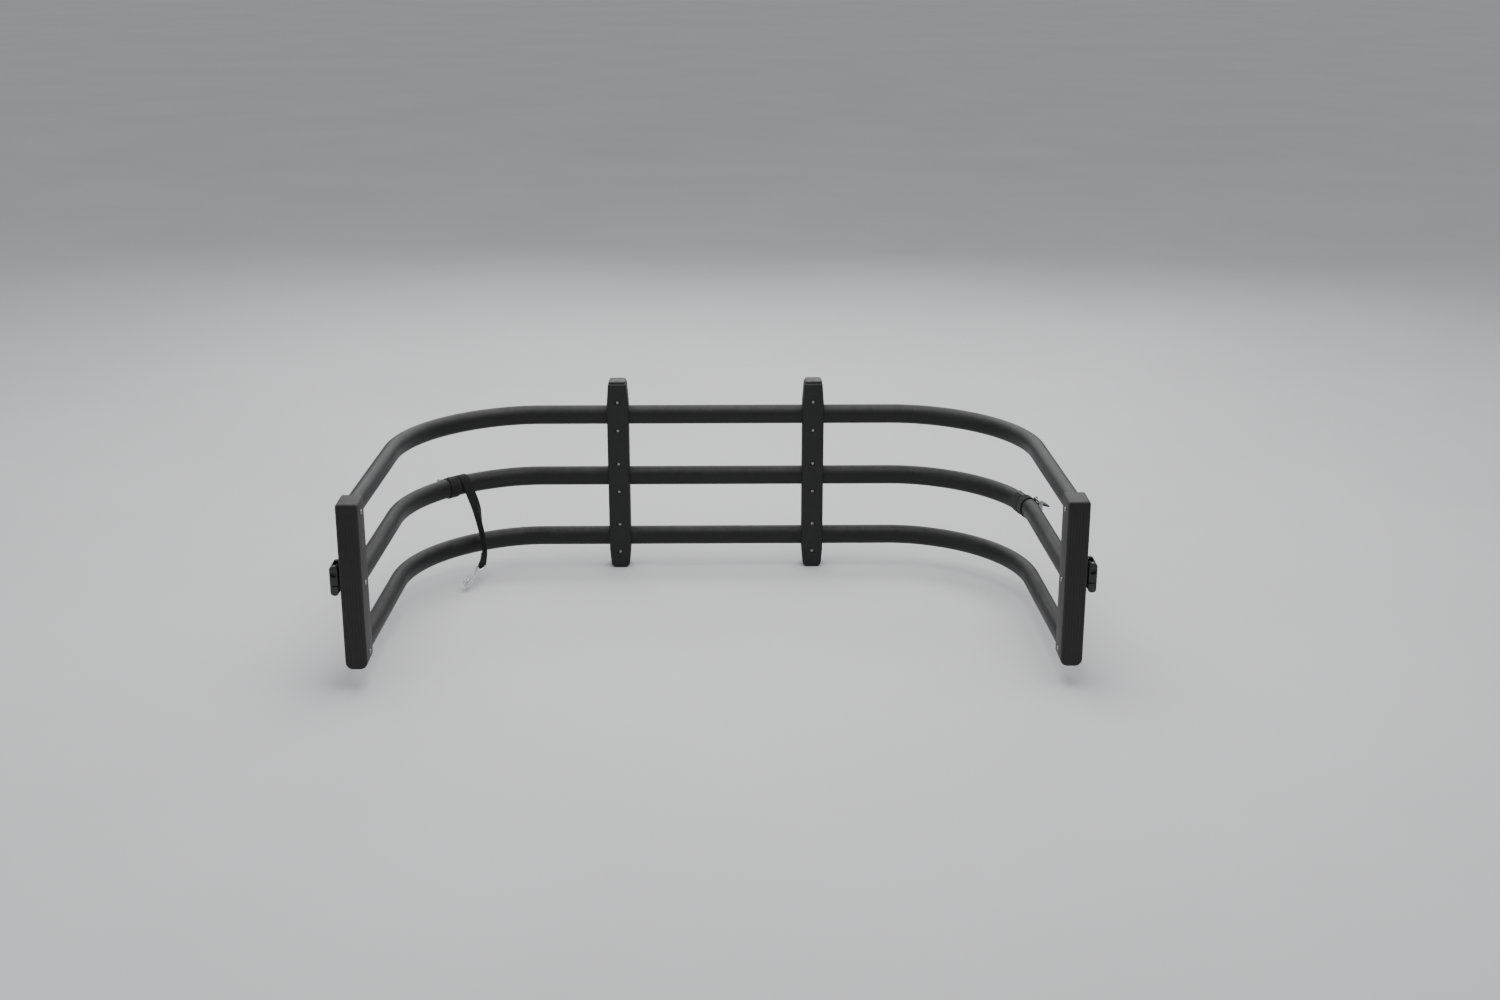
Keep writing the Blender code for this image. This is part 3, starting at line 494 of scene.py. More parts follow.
def makeTubes():
    x, y, heading = planLine()
    for row, height in rows:
        half = tubing["uprightX"] - tubing["seam"]
        centres = np.array([(s * half, tubing["reach"], height) for s in (-1, -0.5, 0, 0.5, 1)])
        across = np.tile((0.0, -1.0, 0.0), (5, 1))
        middle = rawObject("rail_%s_middle" % row, hollowOval(centres, across))
        finishPiece(middle, finishes["tube"], "extender_frame", ("tube_%s_centre" % row,))
        for label, side in sides:
            start = tubing["uprightX"] + tubing["seam"]
            centres = np.column_stack((side * np.append(start, x),
                                       np.append(tubing["reach"], y),
                                       np.full(len(x) + 1, height)))
            across = np.column_stack((-np.sin(np.append(0.0, heading)),
                                      -side * np.cos(np.append(0.0, heading)),
                                      np.zeros(len(x) + 1)))
            across[-1] = (-1.0, 0.0, 0.0)
            tube = rawObject("rail_%s_%s" % (row, label), hollowOval(centres, across))
            inner = side * (tubing["postX"] - tubing["halfDeep"] - 0.004)
            tools = [loft(lathed((inner, 0, height), (side, 0, 0),
                                 ((0, tubing["screwHole"]), (0.012, tubing["screwHole"])), 24))]
            if row == "mid":
                outer = side * (tubing["postX"] + tubing["halfDeep"] - 0.006)
                tools.append(loft(lathed((outer, 0, height), (side, 0, 0),
                                         ((0, tubing["studHole"]), (0.012, tubing["studHole"])),
                                         28)))
            carve(tube, tools)
            finishPiece(tube, finishes["tube"], "extender_frame",
                        ("tube_%s_%s" % (row, label),))


makeTubes()
print("tubes: 9")

# ---- uprights: two moulded halves clamped round the tubes, with a cap on top
upright = {"wide": 0.050, "deep": 0.050, "top": 0.227, "low": -0.222, "round": 0.0040,
           "cornerLow": 0.012, "cornerTop": 0.004, "fullTo": 0.1755, "endShare": 0.85,
           "screwOff": 0.034, "bore": 0.0003, "screwHole": 0.0026, "sink": 0.0052}


def uprightRing(less):
    # rear view: rounded rectangle whose width eases down past the outer tubes
    tall = (upright["top"] - upright["low"]) / 2
    top, low = max(upright["cornerTop"] - less, 0.001), max(upright["cornerLow"] - less, 0.002)
    half = upright["wide"] / 2 - less
    arcs = roundedOutline(half, tall - less, (top, top, low, low))
    arcs[:, 1] += (upright["top"] + upright["low"]) / 2
    full = upright["fullTo"]
    heights = np.concatenate((np.linspace(upright["top"] - 0.008, full - 0.006, 9),
                              np.linspace(0.006 - full, upright["low"] + 0.016, 9)))
    left = np.column_stack((np.full(18, -half), heights))
    right = np.column_stack((np.full(18, half), heights[::-1]))
    ring = np.vstack((arcs[:18], left, arcs[18:], right))
    end = np.where(ring[:, 1] > 0, upright["top"], -upright["low"]) - full
    past = np.clip((np.abs(ring[:, 1]) - full) / end, 0, 1)
    ring[:, 0] *= 1 - (1 - upright["endShare"]) * past * np.clip(past * 6, 0, 1)
    return ring


def makeUpright(label, side):
    centreX = side * tubing["uprightX"]
    reach = tubing["reach"]
    turn = np.linspace(0, np.pi / 2, 7)
    depth = np.append(tubing["seam"], upright["deep"] / 2 - upright["round"]
                      * (1 - np.sin(turn)))
    inset = np.append(0.0, upright["round"] * (1 - np.cos(turn)))
    for half, way in (("rear", -1.0), ("front", 1.0)):
        rings = []
        for far, less in zip(depth, inset):
            ring = uprightRing(less)
            rings.append(np.column_stack((centreX + ring[:, 0],
                                          np.full(len(ring), reach + way * far),
                                          ring[:, 1])))
        shell = rawObject("upright_%s_%sShell" % (label, half), loft(np.array(rings)))
        bores = []
        holes = []
        for row, height in rows:
            centres = [(centreX + s * upright["wide"], reach, height) for s in (-1, 1)]
            bores.append(loft(ovalRings(centres, np.tile((0.0, -1.0, 0.0), (2, 1)),
                                        tubing["halfDeep"] + upright["bore"],
                                        tubing["halfTall"] + upright["bore"])))
            for sign in (1, -1):
                z = height + sign * upright["screwOff"]
                hole, sink = upright["screwHole"], upright["sink"]
                if half == "rear":
                    profile = ((-0.001, hole), (0.0205, hole), (0.0206, sink), (0.0242, sink),
                               (0.0250, sink + 0.0007), (0.030, sink + 0.0057))
                    holes.append(loft(lathed((centreX, reach, z), (0, -1, 0), profile, 32)))
                else:
                    holes.append(loft(lathed((centreX, reach - 0.001, z), (0, 1, 0),
                                             ((0, hole), (0.015, hole)), 24)))
        carve(shell, bores)
        carve(shell, holes)
        finishPiece(shell, finishes["nylon"], "extender_frame",
                    ("upright_%s_%s" % (label, half),), sharp=32)
    rings = []
    for lift, less in ((0.0003, 0.0015), (0.0030, 0.0015), (0.0040, 0.0018), (0.0048, 0.0026),
                       (0.0054, 0.0038), (0.0058, 0.0054), (0.0060, 0.0075)):
        ring = roundedOutline(upright["endShare"] * upright["wide"] / 2 - 0.0005 - less,
                              upright["deep"] / 2 - 0.002 - less, (0.006 - less * 0.3,) * 4)
        rings.append(np.column_stack((centreX + ring[:, 0], reach + ring[:, 1],
                                      np.full(len(ring), upright["top"] + lift))))
    cap = rawObject("upright_%s_topCap" % label, loft(np.array(rings)))
    finishPiece(cap, finishes["cap"], "extender_frame", ("upright_cap_%s" % label,))


for label, side in sides:
    makeUpright(label, side)
print("uprights: 2, each two halves and a cap")

# ---- end posts: moulded trough, open towards the tubes, grooves down its back
endPost = {"wide": 0.0445, "half": 0.033, "wall": 0.0025, "top": 0.17375, "low": -0.17655,
           "back": 0.0045, "topRound": 0.0055, "footRound": 0.015, "flutes": 6,
           "fluteDeep": 0.0009, "fluteHalf": 0.0019, "lip": 0.0008}


def postRing(less, side, y, segs=10):
    # rear view of the trough: tight corners at the top, a well rounded foot
    tall = (endPost["top"] - endPost["low"]) / 2
    ring = roundedOutline(endPost["wide"] / 2 - less, tall - less,
                          (endPost["topRound"] - less,) * 2
                          + (endPost["footRound"] - less,) * 2, segs)
    return np.column_stack((side * tubing["postX"] + ring[:, 0], np.full(len(ring), y),
                            (endPost["top"] + endPost["low"]) / 2 + ring[:, 1]))


def makePost(label, side):
    postX, half, back, lip = tubing["postX"], endPost["half"], endPost["back"], endPost["lip"]
    turn = np.linspace(0, np.pi / 2, 8)
    inset = np.append(back * (1 - np.sin(turn)), lip * (1 - np.cos(turn[::2])))
    depth = np.append(-half + back * (1 - np.cos(turn)),
                      half - lip + lip * np.sin(turn[::2]))
    body = np.array([postRing(less, side, y) for less, y in zip(inset, depth)])
    post = rawObject("endPost_%s" % label, loft(body))
    cavity = np.array([postRing(endPost["wall"], side, y)
                       for y in (-half + endPost["wall"] + 0.001, half + 0.002)])
    carve(post, [loft(cavity)])
    # each groove is a prism whose section is half a cosine wave
    across = np.linspace(-1, 1, 13)
    section = np.column_stack((np.append(across, (1.0, -1.0)) * endPost["fluteHalf"],
                               np.append((0.5 + 0.5 * np.cos(np.pi * across))
                                         * endPost["fluteDeep"], (-0.0006, -0.0006))))
    step = (endPost["wide"] - 2 * back) / endPost["flutes"]
    grooves = []
    for k in range(endPost["flutes"]):
        middle = side * postX - endPost["wide"] / 2 + back + step * (k + 0.5)
        grooves.append(loft(np.array([
            np.column_stack((middle + section[:, 0], -half + section[:, 1],
                             np.full(len(section), z)))
            for z in (endPost["low"] - 0.01, endPost["top"] + 0.01)])))
    carve(post, grooves)
    inner = side * (postX - endPost["wide"] / 2 - 0.002)
    outer = side * (postX + endPost["wide"] / 2 - 0.006)
    hole, bore = tubing["screwHole"], tubing["studHole"]
    tools = [loft(lathed((inner, 0, z), (side, 0, 0), ((0, hole), (0.008, hole)), 28))
             for row, z in rows]
    tools.append(loft(lathed((outer, 0, 0), (side, 0, 0), ((0, bore), (0.010, bore)), 32)))
    carve(post, tools)
    finishPiece(post, finishes["post"], "extender_frame", ("post_%s" % label,), sharp=32)


for label, side in sides:
    makePost(label, side)
print("end posts: 2")

# ---- screws: domed head with a six-lobed recess, one pattern turned to each place
screw = {"dome": 0.0028, "collar": 0.0007, "lobes": 6, "recess": 0.0019, "deep": 0.0016,
         "clamp": (0.0043, 0.0022, 0.033), "end": (0.0046, 0.0024, 0.0085), "gap": 0.0003}


def screwShape(headRadius, shankRadius, length):
    # the dome is a quarter ellipse of revolution; +X is the way the screw points
    turn = np.linspace(0.02, np.pi / 2, 9)
    head = np.column_stack((-screw["collar"] - (screw["dome"] - screw["collar"])
                            * np.cos(turn), headRadius * np.sin(turn)))
    thread = np.linspace(0.0012, length, 50)
    crest = shankRadius * (1 - 0.06 * (np.arange(50) % 2))
    shank = np.column_stack((thread, crest))
    profile = np.vstack((head, ((0.0, headRadius), (0.0001, shankRadius)), shank))
    body = rawObject("screwPattern", loft(lathed((0, 0, 0), (1, 0, 0), profile, 32)))
    turn = 2 * np.pi * np.arange(48) / 48
    lobe = screw["recess"] * (1 + 0.17 * np.cos(screw["lobes"] * turn))
    star = np.array([np.column_stack((np.full(48, x), lobe * np.cos(turn),
                                      lobe * np.sin(turn)))
                     for x in (-screw["dome"] - 0.001, -screw["dome"] + screw["deep"])])
    carve(body, [loft(star)])
    mesh = body.data
    points = np.empty(len(mesh.vertices) * 3)
    mesh.vertices.foreach_get("co", points)
    faces = [list(face.vertices) for face in mesh.polygons]
    bpy.data.objects.remove(body, do_unlink=True)
    return points.reshape(-1, 3), faces


def placeScrew(name, pattern, place, axis, node):
    axis = unit(axis)
    second = unit(np.cross(up, axis))
    third = np.cross(axis, second)
    points = np.asarray(place) + pattern[0] @ np.array((axis, second, third))
    piece = rawObject(name, (points, pattern[1], None))
    finishPiece(piece, finishes["screw"], "extender_frame", (node,), sharp=40)


clampScrew = screwShape(*screw["clamp"])       # radius of head and shank, and length
postScrew = screwShape(*screw["end"])
for label, side in sides:
    seat = tubing["reach"] - upright["deep"] / 2 + 0.0040
    number = 0
    for row, height in rows:
        for sign in (1, -1):
            number += 1
            placeScrew("clampScrew_%s_%d" % (label, number), clampScrew,
                       (side * tubing["uprightX"], seat,
                        height + sign * upright["screwOff"]),
                       (0, 1, 0), "clamp_screw_%s_%d" % (label, number))
    for number, (row, height) in enumerate(rows):
        placeScrew("endScrew_%s_%d" % (label, number + 1), postScrew,
                   (side * (tubing["postX"] - endPost["wide"] / 2 - screw["gap"]), 0.0, height),
                   (side, 0, 0), "post_screw_%s_%d" % (label, number + 1))
print("screws: 18")

# ---- wall brackets with an open keyhole, and the pivot studs that turn in them
bracket = {"wallX": 0.766, "inX": 0.749, "faceX": 0.7535, "plateX": 0.762, "top": 0.0420,
           "low": -0.0205, "half": 0.024, "slot": 0.0053, "seat": 0.0083, "round": 0.0075,
           "eyeZ": 0.0240, "eye": 0.0056, "rim": 0.0068, "chamber": 0.0145,
           "screwY": 0.0192, "screwHead": 0.0045, "screwHole": 0.0028, "ledge": 0.0012}
stud = {"postOuter": 0.7445, "head": 0.0075, "flat": 0.005, "neck": 0.008, "gap": 0.0003,
        "shank": 0.0047, "shoulder": 0.0105, "keeper": 0.0120}


def boxShape(x0, x1, y0, y1, z0, z1):
    corners = np.array(((x0, y0), (x1, y0), (x1, y1), (x0, y1)))
    return loft(np.array([np.column_stack((corners, np.full(4, z))) for z in (z0, z1)]))


def makeBracket(label, side):
    tall = (bracket["top"] - bracket["low"]) / 2
    middle = (bracket["top"] + bracket["low"]) / 2
    middleX = side * (bracket["inX"] + bracket["wallX"]) / 2
    soft = bracket["half"]
    rings = []
    for y, less in ((-soft, 0.0012), (-soft + 0.0002, 0.0006), (-soft + 0.0006, 0.0002),
                    (-soft + 0.0012, 0.0), (soft - 0.0012, 0.0), (soft - 0.0006, 0.0002),
                    (soft - 0.0002, 0.0006), (soft, 0.0012)):
        ring = roundedOutline((bracket["wallX"] - bracket["inX"]) / 2 - less, tall - less,
                              (bracket["round"] - less,) * 4, 10)
        rings.append(np.column_stack((middleX + ring[:, 0], np.full(len(ring), y),
                                      middle + ring[:, 1])))
    body = rawObject("wallBracket_%s" % label, loft(np.array(rings)))
    chamber, screwHead, screwHole = (bracket[key] for key in
                                     ("chamber", "screwHead", "screwHole"))
    carve(body, [boxShape(side * bracket["faceX"], side * bracket["plateX"], -chamber, chamber,
                          -chamber, bracket["top"] + 0.01)])
    carve(body, [loft(lathed((side * (bracket["inX"] - 0.002), 0, 0), (side, 0, 0),
                             ((0, bracket["seat"]), (0.008, bracket["seat"])), 48))])
    carve(body, [boxShape(side * (bracket["inX"] - 0.002), side * (bracket["faceX"] + 0.001),
                          -bracket["slot"], bracket["slot"], 0.0, bracket["top"] + 0.01)])
    carve(body, [loft(lathed((side * (bracket["inX"] - 0.002), y, 0), (side, 0, 0),
                             ((0, screwHead), (0.014, screwHead), (0.0141, screwHole),
                              (0.022, screwHole)), 28))
                 for y in (-bracket["screwY"], bracket["screwY"])])
    rear = -bracket["half"]
    carve(body, [loft(lathed((middleX, rear - 0.002, bracket["eyeZ"]), (0, 1, 0),
                             ((0, bracket["rim"] + 0.0004), (0.002, bracket["rim"]),
                              (0.0027, bracket["rim"] - 0.0002), (0.0029, bracket["eye"]),
                              (0.0085, bracket["eye"] - 0.0004)), 40)),
                 boxShape(side * (bracket["inX"] - 0.002), side * (bracket["wallX"] + 0.002),
                          rear - 0.002, rear + 0.0014, -bracket["ledge"], bracket["ledge"])])
    finishPiece(body, finishes["bracket"], "wall_brackets", ("bracket_%s" % label,),
                sharp=35, bevel=0.0003)
    # stud: head in the tube bore, shank, shoulder, flatted neck, keeper disc
    boreDeep = tubing["halfDeep"] - tubing["wall"]
    boreTall = tubing["halfTall"] - tubing["wall"]
    headX = (tubing["postX"] + boreDeep * math.sqrt(1 - (stud["head"] / boreTall) ** 2)
             - stud["gap"] - 0.0003)
    shoulder, face = stud["postOuter"] + stud["gap"], bracket["faceX"] + stud["gap"]
    inner = bracket["inX"] - stud["gap"]
    head, shank, collar, keeper = (stud[key] for key in ("head", "shank", "shoulder", "keeper"))
    profile = ((headX - 0.0040, head - 0.0015), (headX - 0.0036, head - 0.0006),
               (headX - 0.0030, head), (headX, head), (headX + 0.0001, shank),
               (shoulder, shank), (shoulder + 0.0001, collar - 0.0004),
               (shoulder + 0.0005, collar), (inner - 0.0005, collar),
               (inner - 0.0001, collar - 0.0004), (inner, stud["neck"]), (face, stud["neck"]),
               (face + 0.0001, keeper - 0.0004), (face + 0.0005, keeper),
               (face + 0.0026, keeper), (face + 0.0032, keeper - 0.0002),
               (face + 0.0034, keeper - 0.0008))
    grid = lathed((0, 0, 0), (side, 0, 0), profile, 48)
    neck = ((np.abs(grid[:, :, 0]) > inner - 0.00005)
            & (np.abs(grid[:, :, 0]) < face + 0.00005))
    grid[:, :, 2] = np.where(neck, np.clip(grid[:, :, 2], -stud["flat"], stud["flat"]),
                             grid[:, :, 2])
    pin = rawObject("pivotStud_%s" % label, loft(grid))
    finishPiece(pin, finishes["stud"], "extender_frame", ("pivot_stud_%s" % label,), sharp=35)


for label, side in sides:
    makeBracket(label, side)
print("wall brackets and studs: 2 each")

# ---- straps: a band and its loose turns round the middle tube, buckle, lever and hook
strap = {"wide": 0.025, "thick": 0.0016, "bandIn": 0.0008, "gap": 0.0003, "ride": 0.0018,
         "leftAt": 0.362, "rightAt": 0.84, "turnApart": 0.0274, "loop": 0.0052,
         "foldMost": 84.0, "rightSwing": 80.0, "leftAim": (-0.399, -0.863, -0.310),
         "leftTurn": (40, 55, 70, 85, 100, 115, 130, 145, 158), "rightTurn": (110, 338, 17)}
# the left strap hangs: along the tube, out past its inner flank, up, and the fold in degrees
hanging = np.array(((-0.0062, -0.0030, 0.0010, 0), (-0.0084, -0.0037, -0.0075, 0),
                    (-0.0129, -0.0043, -0.0216, 0), (-0.0177, -0.0060, -0.0367, 0),
                    (-0.0227, -0.0094, -0.0578, 12), (-0.0267, -0.0137, -0.0858, 42),
                    (-0.0287, -0.0189, -0.1153, 66), (-0.0284, -0.0249, -0.1401, 80),
                    (-0.0248, -0.0311, -0.1599, 84), (-0.0172, -0.0381, -0.1761, 84),
                    (-0.0120, -0.0418, -0.1863, 84)))


def strapTurn(label, side):
    # centre, tangent and outward direction of the loose turn, beside the band
    bend = tubing["cornerRadius"] * tubing["cornerTurn"]
    return onCorner(strap[label + "At"] - strap["turnApart"] / bend, side)


def aroundTube(frameHere, degrees, lift, drift):
    # points that lie a little above the oval, at an angle up from its outer side
    centre, tangent, outward = frameHere
    angle = np.radians(degrees)[:, None]
    lift = np.broadcast_to(lift, len(degrees))[:, None]
    drift = np.broadcast_to(drift, len(degrees))[:, None]
    return (centre + tangent * drift + outward * (tubing["halfDeep"] + lift) * np.cos(angle)
            + up * (tubing["halfTall"] + lift) * np.sin(angle))


def leftRoute():
    frameHere = strapTurn("left", -1.0)
    centre, tangent, outward = frameHere
    degrees = np.array(strap["leftTurn"], float)
    drift = -0.0045 * np.clip((degrees - 85) / 73, 0, None)
    turned = aroundTube(frameHere, degrees, strap["ride"], drift)
    free = (centre + hanging[:, :1] * tangent
            + (hanging[:, 1:2] - tubing["halfDeep"]) * outward + hanging[:, 2:3] * up)
    return (np.vstack((turned, free)), np.append(np.zeros(len(degrees)), hanging[:, 3]),
            tangent)


def rightRoute():
    frameHere = strapTurn("right", 1.0)
    degrees = np.linspace(*strap["rightTurn"])
    fold = strap["foldMost"] * np.clip((degrees - 250) / 62, 0, 1)
    free = np.clip((degrees - 270) / 68, 0, None)
    lift = strap["ride"] + strap["wide"] / 4 * np.sin(np.radians(fold)) + 0.0062 * free ** 2
    return aroundTube(frameHere, degrees, lift, 0.0), fold, frameHere[1]


def hookFrame(label, route, wide):
    # where the bar is, its line, and the ways the hook points and rises
    travel = unit(route[-1] - route[-2])
    away = unit(wide - travel * np.dot(wide, travel))
    barLine = unit(np.cross(travel, away))
    away = away * (1.0 if label == "left" else -1.0)
    if label == "left":
        aim = np.array(strap["leftAim"])
        line = unit(aim - barLine * np.dot(aim, barLine))
        rise = np.cross(barLine, line)
        rise = rise * np.sign(rise[2])
    else:
        swing = math.radians(strap["rightSwing"])
        line = travel * math.cos(swing) + away * math.sin(swing)
        rise = away * math.cos(swing) - travel * math.sin(swing)
    return route[-1] + away * strap["loop"], barLine, line, rise


def foldedShape(path, wide, fold, closed=False, along=None):
    # webbing section: its middle line bends through the fold angle within 1.6 mm, then it is
    # offset half a thickness to each side; carried along the path with lay in metres
    path = np.asarray(path, float)
    along = unit(np.gradient(path, axis=0)) if along is None else along
    wide = unit(wide - along * np.sum(wide * along, axis=1, keepdims=True))
    flat = np.cross(along, wide)
    fold = np.broadcast_to(np.asarray(fold, float), len(path))[:, None]
    width = strap["wide"] - strap["thick"]
    s = np.concatenate((np.linspace(-0.5, -0.14, 5), np.linspace(-0.10, 0.10, 9),
                        np.linspace(0.14, 0.5, 5))) * width
    lean = fold * np.clip(s / 0.0016, -1, 1)[None, :]
    step = np.diff(s)[None, :]
    midLean = (lean[:, 1:] + lean[:, :-1]) / 2
    a = np.hstack((np.zeros((len(path), 1)), np.cumsum(step * np.cos(midLean), axis=1)))
    b = np.hstack((np.zeros((len(path), 1)), np.cumsum(step * np.sin(midLean), axis=1)))
    middle = len(s) // 2
    a = a - a[:, middle:middle + 1]
    b = b - b[:, middle:middle + 1] - strap["wide"] / 4 * np.sin(fold)
    half = strap["thick"] / 2
    cap = np.pi * np.arange(1, 4) / 4
    upA, upB = a - half * np.sin(lean), b + half * np.cos(lean)
    lowA, lowB = a + half * np.sin(lean), b - half * np.cos(lean)
    rightTurn, leftTurn = lean[:, -1:] - np.pi / 2 + cap, lean[:, :1] + np.pi / 2 + cap
    ringA = np.hstack((lowA, a[:, -1:] + half * np.cos(rightTurn), upA[:, ::-1],
                       a[:, :1] + half * np.cos(leftTurn)))
    ringB = np.hstack((lowB, b[:, -1:] + half * np.sin(rightTurn), upB[:, ::-1],
                       b[:, :1] + half * np.sin(leftTurn)))
    grid = (path[:, None, :] + ringA[:, :, None] * wide[:, None, :]
            + ringB[:, :, None] * flat[:, None, :])
    steps = np.linalg.norm(np.diff(path, axis=0), axis=1)
    u = np.append(0.0, np.cumsum(steps))
    if closed:
        u = np.append(u, u[-1] + np.linalg.norm(path[0] - path[-1]))
    edge = width / 2
    v = np.concatenate((s, np.full(3, edge), s[::-1], np.full(3, -edge), s[:1])) + edge
    return loft(grid, closed=closed, uv=(u, v))


def stitchShape(spots, ahead, normal, length=0.0023, radius=0.00028):
    # every stitch is a short spindle: radius follows a sine from end to end
    share = np.linspace(0.04, 0.96, 5)
    turn = 2 * np.pi * np.arange(6) / 6
    parts = []
    for spot, way, out in zip(spots, unit(ahead), unit(normal)):
        side = np.cross(way, out)
        rim = np.cos(turn)[:, None] * side + np.sin(turn)[:, None] * out
        grid = (spot + (share - 0.5)[:, None, None] * length * way
                + (radius * np.sin(np.pi * share))[:, None, None] * rim[None])
        parts.append(loft(grid))
    return joined(parts)


def sewnRows(path, across, out, rowsOf, spread):
    # rows of stitches along the path, spread over the width, lifted by half a thickness
    steps = np.append(0.0, np.cumsum(np.linalg.norm(np.diff(path, axis=0), axis=1)))
    marks = np.arange(0.0016, steps[-1] - 0.001, 0.0031)
    spots = np.column_stack([np.interp(marks, steps, path[:, k]) for k in range(3)])
    ahead = np.column_stack([np.interp(marks + 0.0003, steps, path[:, k]) for k in range(3)])
    shifts = np.linspace(-1, 1, rowsOf) * spread
    every = np.concatenate([spots + across * shift + out * 0.0024 for shift in shifts])
    ways = np.tile(ahead - spots, (rowsOf, 1))
    return stitchShape(every, ways, np.tile(out, (len(every), 1)))


def makeBand(label, side):
    centre, tangent, outward = onCorner(strap[label + "At"], side)
    turn = 2 * np.pi * np.arange(96) / 96
    lift = strap["bandIn"] + strap["thick"] / 2
    deep, tall = tubing["halfDeep"] + lift, tubing["halfTall"] + lift
    path = (centre + np.cos(turn)[:, None] * deep * outward
            + np.sin(turn)[:, None] * tall * up)
    along = unit(-np.sin(turn)[:, None] * deep * outward + np.cos(turn)[:, None] * tall * up)
    band = rawObject("strapBand_%s" % label,
                     foldedShape(path, np.tile(tangent, (96, 1)), 0.0, True, along))
    finishPiece(band, finishes["strap"], "extender_frame", ("strap_loop_%s" % label,),
                sharp=70)


hook = {"wire": 0.0022, "long": 0.078, "bend": 0.0055, "back": 0.018, "near": 0.0044,
        "dipFrom": 0.012}


def hookPath(place):
    # two arms from the bar that close in on each other, then a J and its long return
    half = strap["wide"] / 4 + hook["wire"] + 0.0016
    end, near = hook["long"] - hook["bend"], hook["near"]
    arm = [(0.0, half - 0.0035, 0.0), (0.0008, half - 0.0010, 0.0), (0.0030, half, 0.0),
           (0.0095, half - 0.0006, 0.0), (0.019, 0.0056, 0.0), (0.027, near, 0.0),
           (end, near, 0.0)]
    turn = np.pi * np.arange(1, 6) / 5
    arm += list(zip(end + hook["bend"] * np.sin(turn), np.full(5, near),
                    hook["bend"] * (1 - np.cos(turn))))
    arm.append((end - hook["back"], near, 2 * hook["bend"] + 0.0005))
    arm = np.array(arm)
    both = smoothPath(np.vstack((arm[::-1] * (1, -1, 1), arm)), 6)
    bar, barLine, line, rise = place
    return bar + both[:, :1] * line + both[:, 1:2] * barLine + both[:, 2:] * rise, both


def makeHook(label, place, dipFrom=None):
    path, flatPath = hookPath(place)
    ends = np.minimum(np.arange(len(path)), np.arange(len(path))[::-1])
    radius = hook["wire"] * np.sqrt(np.clip((ends + 0.6) / 4.0, 0, 1))
    body = rawObject("strapHook_%s" % label, loft(wireRings(path, radius)))
    finishPiece(body, finishes["wire"], "hook_%s" % label, ("strap_hook_%s" % label,), 60)
    if dipFrom is None:
        return body
    # both arms past this distance from the bar are dipped, each coat a run of its own
    past = np.nonzero(flatPath[:, 0] > dipFrom)[0]
    gap = np.nonzero(np.diff(past) > 1)[0][0] + 1
    for number, run in enumerate((past[:gap], past[gap:])):
        ends = np.minimum(np.arange(len(run)), np.arange(len(run))[::-1])
        thick = (hook["wire"] + 0.0006) * (0.84 + 0.16 * np.sqrt(np.clip(ends / 3, 0, 1)))
        dip = rawObject("strapHook_%s_dip%d" % (label, number + 1),
                        loft(wireRings(path[run], thick)))
        finishPiece(dip, finishes["dip"], "hook_%s" % label, (), 60)
    return body


def sewnEnd(label, path, travel, away, bar, barLine):
    # the folded end goes round the bar and lies back against the strap, sewn down
    loop = strap["loop"]
    turn = np.radians(np.linspace(0, 205, 9))
    around = bar - away * loop * np.cos(turn)[:, None] + travel * loop * np.sin(turn)[:, None]
    tail = path[[-3, -4, -5]] + away * np.array((0.0064, 0.0048, 0.0045))[:, None]
    tailPath = smoothPath(np.vstack((around, tail)), 4)
    side = unit(np.cross(unit(barLine), unit(np.gradient(tailPath, axis=0))))
    end = rawObject("strapSewnEnd_%s" % label,
                    foldedShape(tailPath, side, math.radians(strap["foldMost"])))
    return finishPiece(end, finishes["strap"], "extender_frame", (), 70)


def makeLeftStrap():
    route, fold, tangent = leftRoute()
    path = smoothPath(route, 2)
    foldNow = np.interp(np.arange(len(path)) / 2.0, np.arange(len(fold)), fold)
    # the width turns from along the tube to the side the hook points to, as it folds
    start = math.atan2(tangent[1], tangent[0])
    stop = math.atan2(strap["leftAim"][1], strap["leftAim"][0])
    angle = start + (stop - start) * foldNow / strap["foldMost"]
    wide = np.column_stack((np.cos(angle), np.sin(angle), np.zeros(len(path))))
    strip = rawObject("strapStrip_left", foldedShape(path, wide, np.radians(foldNow)))
    finishPiece(strip, finishes["strap"], "extender_frame", ("strap_webbing_left",), 70)
    place = hookFrame("left", route, wide[-1])
    travel = unit(path[-1] - path[-2])
    away = unit(wide[-1] - travel * np.dot(wide[-1], travel))
    end = sewnEnd("left", path, travel, away, place[0], place[1])
    seam = rawObject("strapStitch_leftEnd",
                     sewnRows(path[-6:-2] + away * 0.0044, unit(place[1]), away, 3, 0.0022))
    finishPiece(seam, finishes["thread"], "extender_frame")
    made = makeHook("left", place)


def makeRightStrap():
    route, fold, tangent = rightRoute()
    path = smoothPath(route, 3)
    foldNow = np.interp(np.arange(len(path)) / 3.0, np.arange(len(fold)), fold)
    wide = np.tile(tangent, (len(path), 1))
    turns = rawObject("strapTurns_right", foldedShape(path, wide, np.radians(foldNow)))
    finishPiece(turns, finishes["strap"], "extender_frame", ("strap_webbing_right",), 70)
    place = hookFrame("right", route, tangent)
    travel = unit(path[-1] - path[-2])
    away = unit(travel * np.dot(tangent, travel) - tangent)
    sewnEnd("right", path, travel, away, place[0], place[1])
    makeHook("right", place, hook["dipFrom"])
    print("right strap: wound on its tube")


